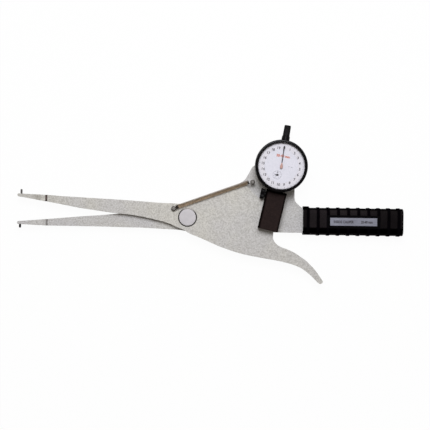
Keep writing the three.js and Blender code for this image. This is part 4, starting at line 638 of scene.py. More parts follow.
HAND_PAINT = Finish(
    "hand_black", (40, 36, 40), (26, 23, 27), (60, 56, 61), 0.0, (0.4, 0.55), 0.2, 3, 0.005, specular=0.3)
HUB_COPPER = Finish(
    "hub_copper", (186, 146, 136), (158, 116, 106), (212, 176, 166), 0.1, (0.4, 0.55), 0.2, 1.5, 0.01,
    specular=0.3)
LABEL_METAL = BrushedFinish(
    "label_metal", (126, 127, 140), (109, 110, 123), (144, 145, 159), 0.2, (0.35, 0.5), 0.25, 12, 0.01, 0.25,
    wear=(156, 158, 172), wear_width=0.3, turn=1.0)
CLEAR = ClearFinish(
    "clear_window", (246, 247, 248), (240, 242, 244), (250, 250, 250), 1.0, (0.16, 0.24), 3, 12, 0.0,
    ior=1.13)


def shift(x: float = 0, y: float = 0, z: float = 0) -> Matrix:
    """Returns a shift in millimetres."""
    return Matrix.Translation((x, y, z))


def rotation(degrees: float, axis: str = "Z") -> Matrix:
    """Returns a turn about an axis, the vertical one where none is named."""
    return Matrix.Rotation(math.radians(degrees), 4, axis)


class Bench:
    """The modelling moves that all the sub-assemblies share."""

    @staticmethod
    def free() -> None:
        """Leaves edit mode and deselects everything."""
        if bpy.context.object and bpy.context.object.mode != "OBJECT":
            bpy.ops.object.mode_set(mode="OBJECT")
        bpy.ops.object.select_all(action="DESELECT")

    @staticmethod
    def link(piece: Piece) -> None:
        """Adds an object to the scene."""
        bpy.context.scene.collection.objects.link(piece)

    @staticmethod
    def added(name: str) -> Piece:
        """Names the object that was just added and returns it."""
        bpy.context.object.name = name
        return bpy.context.object

    @staticmethod
    def pick(piece: Piece) -> None:
        """Makes one piece the only selected and active one."""
        Bench.free()
        piece.select_set(True)
        bpy.context.view_layer.objects.active = piece

    @staticmethod
    @contextmanager
    def editing(piece: Piece) -> Iterator[None]:
        """Opens a piece in edit mode with all of it selected, and closes it again."""
        Bench.pick(piece)
        bpy.ops.object.mode_set(mode="EDIT")
        bpy.ops.mesh.select_mode(type="VERT")
        Bench.choose_all()
        yield
        bpy.ops.object.mode_set(mode="OBJECT")

    @staticmethod
    def choose_points(piece: Piece, test: Callable[[Vector], bool]) -> None:
        """Selects the vertices of the open piece whose place passes a test.

        Args:
            piece: The piece in edit mode.
            test: Takes a vertex's world place in metres.
        """
        shape = bmesh.from_edit_mesh(piece.data)
        for point in shape.verts:
            point.select_set(test(piece.matrix_world @ point.co))
        shape.select_flush(True)
        shape.select_flush(False)
        bmesh.update_edit_mesh(piece.data)

    @staticmethod
    def choose_edges(piece: Piece, test: Callable[[bmesh.types.BMEdge], bool]) -> None:
        """Selects the edges of the open piece that pass a test.

        Args:
            piece: The piece in edit mode.
            test: Takes an edge.
        """
        bpy.ops.mesh.select_mode(type="EDGE")
        shape = bmesh.from_edit_mesh(piece.data)
        for edge in shape.edges:
            edge.select_set(False)
        for edge in shape.edges:
            if test(edge):
                edge.select_set(True)
        bmesh.update_edit_mesh(piece.data)

    @staticmethod
    def choose_all() -> None:
        """Selects all of the open piece."""
        bpy.ops.mesh.select_all(action="SELECT")

    @staticmethod
    def turn_outwards() -> None:
        """Selects all of the open piece and turns its faces outwards."""
        Bench.choose_all()
        bpy.ops.mesh.normals_make_consistent(inside=False)

    @staticmethod
    def resize(shares: Sequence[float], centre: Sequence[float] = (0, 0, 0)) -> None:
        """Resizes what is selected in the open piece about a centre in millimetres."""
        bpy.ops.transform.resize(value=shares, center_override=[length * MM for length in centre])

    @staticmethod
    def apply(piece: Piece, kind: str, **settings: object) -> None:
        """Adds a modifier to the picked piece and applies it.

        Args:
            piece: The picked piece.
            kind: The modifier's type.
            settings: The modifier's own settings.
        """
        tool = piece.modifiers.new(kind.lower(), kind)
        for name, value in settings.items():
            setattr(tool, name, value)
        bpy.ops.object.modifier_apply(modifier=tool.name)

    @staticmethod
    def settle(piece: Piece, place: Matrix | None = None) -> Piece:
        """Puts a piece at its place and applies the place to its mesh.

        Args:
            piece: The piece, modelled about the origin.
            place: Where it goes, with its shift in millimetres.

        Returns:
            The piece.
        """
        Bench.pick(piece)
        if place is not None:
            metres = place.copy()
            metres.translation = place.translation * MM
            piece.matrix_world = metres @ piece.matrix_world
        bpy.ops.object.transform_apply(location=True, rotation=True, scale=True)
        return piece

    @staticmethod
    def turned(name: str, profile: Profile, sides: int = 48, ring: bool = False) -> Piece:
        """Turns a piece about the vertical axis, ring by ring from a circle.

        Args:
            name: The piece's name.
            profile: Radius and level pairs in millimetres. A last radius of 0 closes to a point.
            sides: Number of sides.
            ring: True where the last ring joins the first, as in a tube.

        Returns:
            The piece.
        """
        Bench.free()
        radius, level = profile[0]
        bpy.ops.mesh.primitive_circle_add(vertices=sides, radius=radius * MM, location=(0, 0, level * MM))
        piece = Bench.added(name)
        with Bench.editing(piece):
            for next_radius, next_level in profile[1:]:
                bpy.ops.mesh.extrude_edges_move(
                    TRANSFORM_OT_translate={"value": (0, 0, (next_level - level) * MM)})
                if next_radius == 0:
                    bpy.ops.mesh.merge(type="CENTER")
                    break
                share = next_radius / radius
                Bench.resize((share, share, 1), (0, 0, next_level))
                radius, level = next_radius, next_level
            Bench.choose_edges(piece, lambda edge: edge.is_boundary)
            if ring:
                bpy.ops.mesh.bridge_edge_loops()
            else:
                Bench.choose_all()
                bpy.ops.mesh.fill_holes(sides=0)
            Bench.turn_outwards()
        return Bench.settle(piece)

    @staticmethod
    def block(name: str, low: Sequence[float], high: Sequence[float]) -> Piece:
        """Adds a block between two corners, to be shaped or to cut with.

        Args:
            name: The block's name.
            low: Its lowest corner in millimetres.
            high: Its highest corner in millimetres.

        Returns:
            The block.
        """
        Bench.free()
        middle = [(a + b) / 2 * MM for a, b in zip(low, high)]
        size = [(b - a) * MM for a, b in zip(low, high)]
        bpy.ops.mesh.primitive_cube_add(size=1, location=middle, scale=size)
        return Bench.settle(Bench.added(name))

    @staticmethod
    def serrate(piece: Piece, sides: int, low: float, high: float, share: float) -> None:
        """Pulls every other upright edge of a turned piece inwards, for a straight knurl.

        Args:
            piece: The turned piece, still about the vertical axis.
            sides: Its number of sides.
            low: Lowest level of the knurl in millimetres.
            high: Highest level of the knurl in millimetres.
            share: The size that the pulled edges keep.
        """
        step = 2 * math.pi / sides

        def odd(spot: Vector) -> bool:
            """Tells whether a point lies on an odd side and in the knurl's band."""
            count = round(math.atan2(spot.y, spot.x) / step)
            return count % 2 == 1 and low * MM - TINY <= spot.z <= high * MM + TINY

        with Bench.editing(piece):
            Bench.choose_points(piece, odd)
            Bench.resize((share, share, 1), (0, 0, low))

    @staticmethod
    def cut(piece: Piece, cutter: Piece, operation: str = "DIFFERENCE") -> None:
        """Cuts a piece with another one, which is used up."""
        Bench.pick(piece)
        Bench.apply(piece, "BOOLEAN", operation=operation, solver="EXACT", object=cutter)
        bpy.data.objects.remove(cutter)

    @staticmethod
    def soften(piece: Piece, width: float, segments: int = 2, angle: float = 40) -> Piece:
        """Rounds the sharp edges of a piece and smooths its shading.

        Args:
            piece: The piece.
            width: Width of the rounding in millimetres, 0 for shading only.
            segments: Number of faces across a rounding.
            angle: Edges sharper than this many degrees are rounded.

        Returns:
            The piece.
        """
        Bench.pick(piece)
        if width:
            Bench.apply(piece, "BEVEL", width=width * MM, segments=segments, limit_method="ANGLE",
                        angle_limit=math.radians(angle), use_clamp_overlap=True)
        bpy.ops.object.shade_smooth_by_angle(angle=math.radians(angle + CREASE_SLACK))
        Bench.apply(piece, "WEIGHTED_NORMAL", keep_sharp=True, weight=FACE_WEIGHT)
        return piece

    @staticmethod
    def refined(node: str, name: str) -> Piece:
        """Takes a clean copy of a CAD node's mesh, merged and with its flat faces whole.

        Args:
            node: The CAD node.
            name: The new piece's name.

        Returns:
            The piece, which rides on nothing yet.
        """
        piece = bpy.data.objects.new(name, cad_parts[node].data.copy())
        piece.data.name = name
        piece.data.materials.clear()
        Bench.link(piece)
        with Bench.editing(piece):
            bpy.ops.mesh.remove_doubles(threshold=TINY)
            bpy.ops.mesh.dissolve_limited(angle_limit=math.radians(FLAT_ANGLE))
        bpy.ops.mesh.customdata_custom_splitnormals_clear()
        return piece

    @staticmethod
    def joined(pieces: Sequence[Piece], name: str) -> Piece:
        """Joins several meshes into one piece.

        Args:
            pieces: The meshes.
            name: The new piece's name.

        Returns:
            The piece.
        """
        Bench.pick(pieces[0])
        for piece in pieces:
            piece.select_set(True)
        bpy.ops.object.join()
        pieces[0].name = name
        return pieces[0]

    @staticmethod
    def words(text: str, height: float, thick: float, place: Matrix, weight: float = 0.0) -> Piece:
        """Makes printed text as a thin solid.

        Args:
            text: What it says.
            height: Height of a digit in millimetres.
            thick: Thickness of the print in millimetres.
            place: Where the middle of the text's back goes, in millimetres.
            weight: How far each stroke's sides are moved out in millimetres.

        Returns:
            The text's mesh.
        """
        Bench.free()
        bpy.ops.object.text_add()
        letters = bpy.context.object
        letters.data.body = text
        letters.data.size = height * MM / DIGIT_SHARE
        letters.data.align_x = "CENTER"
        letters.data.resolution_u = 3
        letters.data.extrude = thick * MM / 2
        letters.data.offset = weight * MM
        bpy.ops.object.convert(target="MESH")
        piece = bpy.context.object
        with Bench.editing(piece):
            bpy.ops.mesh.remove_doubles(threshold=TINY / 10)
        return Bench.settle(piece, place @ shift(0, -height / 2, thick / 2))

    @staticmethod
    def finish(piece: Piece, look: Finish, body: Body, slot: Slot, *nodes: str) -> None:
        """Dresses a piece, lets it ride on its body and hides the CAD nodes it stands for.

        Args:
            piece: The finished mesh.
            look: Its finish.
            body: The body it rides on.
            slot: The record's slot it belongs to; not used.
            nodes: The CAD nodes it replaces.
        """
        piece.data.materials.clear()
        piece.data.materials.append(look.material())
        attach(piece, body.value)
        if nodes:
            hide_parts(*nodes)
        LOG.info("%s: %d faces on %s", piece.name, len(piece.data.polygons), body.value)

    @staticmethod
    def lathe(name: str, profile: Profile, place: Matrix, sides: int = 48, ring: bool = False,
              angle: float = 40, knurl: Triple | None = None) -> Piece:
        """Turns a piece with smooth shading and puts it in its place.

        Args:
            name: The piece's name.
            profile: Radius and level pairs in millimetres.
            place: Where it goes, with its shift in millimetres.
            sides: Number of sides.
            ring: True where the last ring joins the first.
            angle: Edges a little sharper than this many degrees keep their crease.
            knurl: Lowest level, highest level and kept size of a straight knurl.

        Returns:
            The piece.
        """
        piece = Bench.turned(name, profile, sides, ring)
        if knurl:
            Bench.serrate(piece, sides, *knurl)
        return Bench.settle(Bench.soften(piece, 0, 1, angle), place)

    @staticmethod
    def bore(piece: Piece, radius: float, span: Pair, place: Matrix, sides: int = 48) -> None:
        """Drills a round hole in a piece.

        Args:
            piece: The piece to drill.
            radius: Radius of the hole in millimetres.
            span: Levels where the drill starts and ends before it's put in its place.
            place: Where the drill goes, with its shift in millimetres.
            sides: Number of sides.
        """
        low, high = span
        Bench.cut(piece, Bench.settle(Bench.turned("bore", ((radius, low), (radius, high)), sides), place))

    @staticmethod
    def carved(node: str, name: str, look: Finish, body: Body, slot: Slot, width: float, segments: int = 2,
               angle: float = 40) -> None:
        """Makes a piece of a CAD node by rounding its edges.

        Args:
            node: The CAD node it replaces.
            name: The piece's name.
            look: Its finish.
            body: The body it rides on.
            slot: The record's slot it belongs to.
            width: Width of the rounding in millimetres.
            segments: Number of faces across a rounding.
            angle: Edges sharper than this many degrees are rounded.
        """
        piece = Bench.soften(Bench.refined(node, name), width, segments, angle)
        Bench.finish(piece, look, body, slot, node)

    @staticmethod
    def printed(parts: Sequence[Piece], name: str, ink: Finish, body: Body = Body.FRAME) -> None:
        """Joins printed parts into one piece of ink."""
        Bench.finish(Bench.joined(parts, name), ink, body, Slot.HAND)


@dataclass
class SlotScrew:
    """A round-headed screw with a slot, in place of a CAD screw.

    Attributes:
        node: The CAD node it replaces, which gives its place and length.
        head_radius: Radius of the head in millimetres.
        head: Height of the head in millimetres.
        shank_radius: Radius of the shank in millimetres.
        slot_turn: Turn of the slot in degrees.
        head_up: True where the head points to the front.
        body: The body it rides on.
        sides: Number of sides.
    """

    node: str
    head_radius: float
    head: float
    shank_radius: float
    slot_turn: float
    head_up: bool = False
    body: Body = Body.FRAME
    sides: int = 28

    def build(self) -> None:
        """Turns the screw, cuts its slot and puts it in the CAD screw's place."""
        low, high = (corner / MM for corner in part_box(self.node))
        length = high.z - low.z
        edge = 0.18 * self.head
        tip = 0.25 * self.shank_radius
        piece = Bench.turned(f"{self.node}_slotted", (
            (self.head_radius - edge, 0), (self.head_radius, edge), (self.head_radius, self.head - edge / 2),
            (self.head_radius - edge / 2, self.head), (self.shank_radius, self.head),
            (self.shank_radius, length - tip), (self.shank_radius - tip, length),
        ), self.sides)
        reach = self.head_radius + 1
        half = 0.16 * self.head_radius
        depth = 0.42 * self.head
        Bench.cut(piece, Bench.block("slot", (-reach, -half, -1), (reach, half, depth)))
        Bench.soften(piece, 0.05, 1)
        middle = (low + high) / 2
        flip = rotation(180, "X") if self.head_up else Matrix()
        start = high.z if self.head_up else low.z
        Bench.settle(piece, shift(middle.x, middle.y, start) @ rotation(self.slot_turn) @ flip)
        Bench.finish(piece, SCREW_STEEL, self.body, Slot.SCREW_STEEL, self.node)


@dataclass
class Plates:
    """The two plates with their jaw tips, braze bands and contact pins.

    Attributes:
        edge: Rounding of the plates' edges in millimetres.
        tip_edge: Rounding of the tips' edges in millimetres.
        pin_level: Level of the contact pins' axes in millimetres.
        pin_edge: Bevel of a pin's inner end.
        pin_gap: Gap between a pin and its bore.
        upper_pin: X, lowest Y, highest Y and radius of the upper pin in millimetres.
        lower_pin: The same of the lower pin.
        pin_sides: Number of sides of a pin.
        tip_root: X of the tips' roots.
        tip_end: X of the tips' ends.
        upper_edges: Lowest and highest Y of the upper tip at its root, then at its end.
        lower_edges: The same of the lower tip.
        backs: Levels of the upper and the lower tip's back at the root.
        thick: Thickness of plates and tips.
        tip_round: Rounding of the tips' ends.
        bend: Distances past the root where the tips' bend starts and ends.
        bead: Rounding of the braze bands.
    """

    edge: float = 0.32
    tip_edge: float = 0.45
    pin_level: float = 13.25
    pin_edge: float = 0.15
    pin_gap: float = 0.08
    upper_pin: Quad = (-199.4, 5.3, 12.49, 1.05)
    lower_pin: Quad = (-200.5, -28.31, -22.02, 1.15)
    pin_sides: int = 32
    tip_root: float = -173.45
    tip_end: float = -203.3
    upper_edges: Quad = (-0.121, 6.651, 4.964, 7.859)
    lower_edges: Quad = (-25.656, -18.842, -24.291, -21.467)
    backs: Pair = (13.75, 7.75)
    thick: float = 5.0
    tip_round: float = 1.2
    bend: Pair = (4.0, 14.0)
    bead: float = 0.35

    def tip_stations(self, edges: Quad, back: float) -> list[Quad]:
        """Lists a tip's cross-sections from root to end.

        Args:
            edges: Lowest and highest Y at the root, then at the end.
            back: Level of the tip's back at its root.

        Returns:
            X, lowest Y, highest Y and back of each section in millimetres.
        """
        length = self.tip_root - self.tip_end
        first, last = self.bend
        places = [(0.0, 0.0)]
        places += [(first + step, 0.0) for step in range(round(last - first) + 1)]
        for angle in (math.radians(step) for step in (0, 22.5, 45, 67.5, 90)):
            places.append((length - self.tip_round * (1 - math.sin(angle)),
                           self.tip_round * (1 - math.cos(angle))))
        stations = []
        for past, inset in places:
            share = past / length
            bent = min(max((past - first) / (last - first), 0), 1)
            rise = bent * bent * (3 - 2 * bent) * (self.pin_level - self.thick / 2 - back)
            stations.append((self.tip_root - past, edges[0] + (edges[2] - edges[0]) * share + inset,
                             edges[1] + (edges[3] - edges[1]) * share - inset, back + rise))
        return stations

    def tip(self, side: str, look: Finish, body: Body, edges: Quad, back: float, pin: Quad) -> None:
        """Grows one jaw tip from its root section by section, and bores the pin's hole.

        Args:
            side: The jaw it belongs to, upper or lower.
            look: Its finish.
            body: The body it rides on.
            edges: Lowest and highest Y at the root, then at the end.
            back: Level of the tip's back at its root.
            pin: X, lowest Y, highest Y and radius of its pin.
        """
        stations = self.tip_stations(edges, back)
        x, low, high, back = stations[0]
        Bench.free()
        bpy.ops.mesh.primitive_plane_add(size=1, rotation=(0, math.radians(90), 0))
        piece = Bench.settle(Bench.added(f"{side}_tip_rounded"))
        with Bench.editing(piece):
            Bench.resize((1, (high - low) * MM, self.thick * MM))
            bpy.ops.transform.translate(value=(x * MM, (low + high) / 2 * MM, (back + self.thick / 2) * MM))
            for next_x, next_low, next_high, next_back in stations[1:]:
                middle = (next_low + next_high) / 2
                move = (next_x - x, middle - (low + high) / 2, next_back - back)
                bpy.ops.mesh.extrude_region_move(
                    TRANSFORM_OT_translate={"value": tuple(length * MM for length in move)})
                Bench.resize((1, (next_high - next_low) / (high - low), 1), (next_x, middle, next_back))
                x, low, high, back = next_x, next_low, next_high, next_back
            Bench.turn_outwards()
        Bench.soften(piece, self.tip_edge, 3, 45)
        pin_x, pin_low, pin_high, radius = pin
        Bench.bore(piece, radius + self.pin_gap, (pin_low - 0.1, pin_high + 0.1),
                   shift(pin_x, 0, self.pin_level) @ rotation(-90, "X"), self.pin_sides)
        Bench.soften(piece, 0, 1)
        Bench.finish(piece, look, body, Slot.PLATE, f"{side}_jaw_tip")

    def band(self, side: str, look: Finish, body: Body) -> None:
        """Models the braze as a soft band between plate and tip.

        Args:
            side: The jaw it belongs to, upper or lower.
            look: Its finish.
            body: The body it rides on.
        """
        node = f"{side}_braze_band"
        piece = Bench.refined(node, f"{side}_braze_bead")
        with Bench.editing(piece):
            bpy.ops.mesh.subdivide(number_cuts=3)
        Bench.soften(piece, self.bead, 3)
        Bench.finish(piece, look, body, Slot.BRAZE, node)

    def pin(self, side: str, look: Finish, body: Body, slot: Slot, sizes: Quad) -> None:
        """Turns one contact pin with a domed end.

        Args:
            side: The jaw it belongs to, upper or lower.
            look: Its finish.
            body: The body it rides on.
            slot: The record's slot it belongs to.
            sizes: X, lowest Y, highest Y and radius in millimetres.
        """
        x, low, high, radius = sizes
        length = high - low
        dome = [(radius * math.cos(angle), length - radius * 0.7 * (1 - math.sin(angle)))
                for angle in (math.radians(step) for step in (0, 18, 36, 54, 72))]
        profile = [(radius - self.pin_edge, 0), (radius, self.pin_edge), *dome, (0, length)]
        start, tilt = (low, -90) if side == "upper" else (high, 90)
        place = shift(x, start, self.pin_level) @ rotation(tilt, "X")
        piece = Bench.lathe(f"{side}_pin_domed", profile, place, self.pin_sides)
        Bench.finish(piece, look, body, slot, f"{side}_contact_pin")

    def build(self) -> None:
        """Builds all of the plates' pieces."""
        frame_body, arm = Body.FRAME, Body.FRONT_PLATE
        upper_back, lower_back = self.backs
        Bench.carved("main_frame", "frame_plate_rounded", PLATE_PAINT, frame_body, Slot.PLATE, self.edge)
        Bench.carved("moving_arm", "arm_plate_rounded", TRIGGER_PAINT, arm, Slot.PLATE, self.edge)
        self.tip("lower", PLATE_PAINT, frame_body, self.lower_edges, lower_back, self.lower_pin)
        self.tip("upper", TRIGGER_PAINT, arm, self.upper_edges, upper_back, self.upper_pin)
        self.band("lower", PALE_BRAZE, frame_body)
        self.band("upper", BRAZE_METAL, arm)
        self.pin("upper", PIN_STEEL, arm, Slot.JAW_STEEL, self.upper_pin)
        self.pin("lower", LOWER_PIN_STEEL, frame_body, Slot.DARK_STEEL, self.lower_pin)


@dataclass
class Pivot:
    """The pivot screw with its round head, and the nut behind the frame.

    Attributes:
        x: X of the axis in millimetres.
        y: Y of the axis in millimetres.
        head_radius: Radius of the head.
        head_back: Level of the head's back.
        head_front: Level of the head's front.
        shank_radius: Radius in the bush.
        thread_radius: Radius of the thread.
        thread_top: Level where the thread starts.
        thread_pitch: Distance between the thread's grooves.
        end: Level of the thread's end.
        groove: Inner and outer radius, back and front of the ring round the head that carries its painted
            shadow.
        play: Gap between the head and that ring.
    """

    x: float = -23.7
    y: float = -15.009
    head_radius: float = 9.2
    head_back: float = 16.95
    head_front: float = 19.15
    shank_radius: float = 5.0
    thread_radius: float = 4.0
    thread_top: float = 12.6
    thread_pitch: float = 0.8
    end: float = 0.95
    groove: Quad = (8.92, 9.96, 17.0, 18.35)
    play: float = 0.05

    def screw(self) -> None:
        """Turns the pivot screw with a gently crowned head and a grooved thread."""
        thread, shank, head, front = self.thread_radius, self.shank_radius, self.head_radius, self.head_front
        turns = [(thread - 0.5, self.end), (thread - 0.1, self.end + 0.4)]
        level = self.end + 0.7
        while level < self.thread_top - self.thread_pitch:
            turns += [(thread, level), (thread - 0.35, level + 0.4)]
            level += self.thread_pitch
        crown = self.groove[0] - self.play
        step = self.groove[2] - self.play
        profile = [*turns, (thread - 0.2, self.thread_top), (shank, self.thread_top), (shank, self.head_back),
                   (head, self.head_back), (head, step), (crown, step), (crown, front - 0.5),
                   (crown - 0.1, front - 0.3), (crown - 0.35, front - 0.16), (crown - 0.8, front - 0.08),
                   (crown * 0.6, front - 0.03), (head * 0.25, front), (0, front)]
        piece = Bench.lathe("pivot_screw_turned", profile, shift(self.x, self.y), 72)
        Bench.finish(piece, HEAD_STEEL, Body.FRAME, Slot.JAW_STEEL, "pivot_screw")

    def dust_ring(self) -> None:
        """Turns the ring in the groove between the head and the plate, painted dark as the head's shadow
        except at its top.
        """
        inner, outer, back, front = self.groove
        ring = Bench.lathe("pivot_shadow_ring", (
            (inner, back), (outer, back), (outer, front), (outer - 0.15, front + 0.1),
            (inner + 0.15, front + 0.1), (inner, front)), shift(self.x, self.y), 96, True)
        Bench.finish(ring, PIVOT_SHADOW_PAINT, Body.FRONT_PLATE, Slot.DARK_STEEL)

    def build(self) -> None:
        """Builds the screw and its ring, and rounds the nut and washers."""
        self.screw()
        self.dust_ring()
        for node, width, angle in (
                ("pivot_nut", 0.5, 25), ("pivot_lock_washer", 0.15, 40), ("pivot_washer", 0.1, 40)):
            Bench.carved(
                node, f"{node}_rounded", SCREW_STEEL, Body.FRAME, Slot.SCREW_STEEL, width, angle=angle)


@dataclass
class ReturnSpring:
    """The exposed tension spring and its two posts.

    Attributes:
        arm_post: X and Y of the post on the front plate in millimetres.
        frame_post: X and Y of the post on the frame.
        level: Level of the spring's axis.
        wire: Thickness of the wire.
        outer: Outer diameter of the coil.
        curls: Number of turns.
        hook_radius: Radius of each hook's loop.
        shanks: Straight length between each hook and the coil, on the arm and on the frame.
        opening: Opening of each hook in degrees.
        lifts: How far the coil stands off the line between the posts, at its start and end.
        give: How far from the arm's post the wire starts and ends to bend when the arm turns; not used.
        curl_steps: Points on one turn.
        hook_steps: Points on one hook.
    """

    arm_post: Pair = (-38.3, -5.909)
    frame_post: Pair = (44.2, 22.891)
    level: float = 21.65
    wire: float = 0.8
    outer: float = 4.6
    curls: int = 66
    hook_radius: float = 2.1
    shanks: Pair = (0.6, 1.7)
    opening: float = 75.0
    lifts: Pair = (0.4, 1.3)
    give: Pair = (2.7, 17.5)
    curl_steps: int = 16
    hook_steps: int = 28

    def ends(self) -> tuple[Vector, Vector, Vector]:
        """Returns the post on the arm, the line to the post on the frame, and its direction."""
        start = Vector((*self.arm_post, self.level))
        line = Vector((*self.frame_post, self.level)) - start
        return start, line, line.normalized()

    def path(self) -> list[Vector]:
        """Lays out the wire's middle line from hook to hook.

        Returns:
            The line's points in millimetres.
        """
        start, line, along = self.ends()
        across = Vector((-along.y, along.x, 0))
        up = Vector((0, 0, 1))
        radius = (self.outer - self.wire) / 2
        first = self.hook_radius + self.shanks[0]
        pitch = (line.length - first - self.hook_radius - self.shanks[1]) / self.curls
        loop = 2 * math.pi - math.radians(self.opening)
        bottom = -math.pi / 2
        points = []

        def add(far: float, side: float, rise: float) -> None:
            """Adds one point by its distance along, across and above the spring's line."""
            points.append(start + along * far + across * side + up * rise)

        for step in range(self.hook_steps + 1):
            angle = bottom - loop * (1 - step / self.hook_steps)
            add(self.hook_radius * math.cos(angle), self.hook_radius * math.sin(angle), 0)
        total = self.curls * self.curl_steps
        for step in range(total + 1):
            angle = bottom + 2 * math.pi * step / self.curl_steps
            lift = self.lifts[0] + (self.lifts[1] - self.lifts[0]) * step / total
            far = first + pitch * step / self.curl_steps
            add(far, lift + radius * math.sin(angle), radius * math.cos(angle))
        for step in range(self.hook_steps + 1):
            angle = bottom + loop * step / self.hook_steps
            add(line.length + self.hook_radius * math.cos(angle), self.hook_radius * math.sin(angle), 0)
        return points

    def coil(self) -> None:
        """Makes the spring of one wire, stretched between the post on the front plate and the post on the
        frame.
        """
        Bench.free()
        curve = bpy.data.curves.new("return_spring_wire", "CURVE")
        curve.dimensions = "3D"
        curve.bevel_depth = self.wire / 2 * MM
        curve.bevel_resolution = 2
        curve.use_fill_caps = True
        points = self.path()
        spline = curve.splines.new("POLY")
        spline.points.add(len(points) - 1)
        for knot, point in zip(spline.points, points):
            knot.co = (*(point * MM), 1)
        piece = bpy.data.objects.new("return_spring_wire", curve)
        Bench.link(piece)
        Bench.pick(piece)
        bpy.ops.object.convert(target="MESH")
        piece = bpy.context.object
        with Bench.editing(piece):
            bpy.ops.mesh.remove_doubles(threshold=TINY)
            bpy.ops.mesh.normals_make_consistent(inside=False)
        bpy.ops.object.shade_smooth_by_angle(angle=math.radians(60))
        piece.data.materials.clear()
        piece.data.materials.append(SPRING_STEEL.material())
        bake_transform(piece)
        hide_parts("return_spring")
        LOG.info("%s: %d faces, blended", piece.name, len(piece.data.polygons))

    def post(self, node: str, body: Body) -> None:
        """Turns one grooved post with a domed head.

        Args:
            node: The CAD node it replaces, which gives its place and height.
            body: The body it rides on.
        """
        low, high = (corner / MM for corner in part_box(node))
        top = high.z - low.z
        profile = [(1.15, 0), (1.3, 0.15), (1.3, top - 3.1), (1.12, top - 2.7), (1.12, top - 1.1),
                   (1.3, top - 0.9), (1.85, top - 0.8), (1.9, top - 0.7), (1.9, top - 0.45), (1.7, top - 0.2),
                   (1.2, top - 0.06), (0, top)]
        place = shift((low.x + high.x) / 2, (low.y + high.y) / 2, low.z)
        piece = Bench.lathe(f"{node}_domed", profile, place, 36)
        Bench.finish(piece, POST_STEEL, body, Slot.DARK_STEEL, node)

    def build(self) -> None:
        """Builds the wire and both posts."""
        self.coil()
        self.post("arm_spring_post", Body.FRONT_PLATE)
        self.post("frame_spring_post", Body.FRAME)


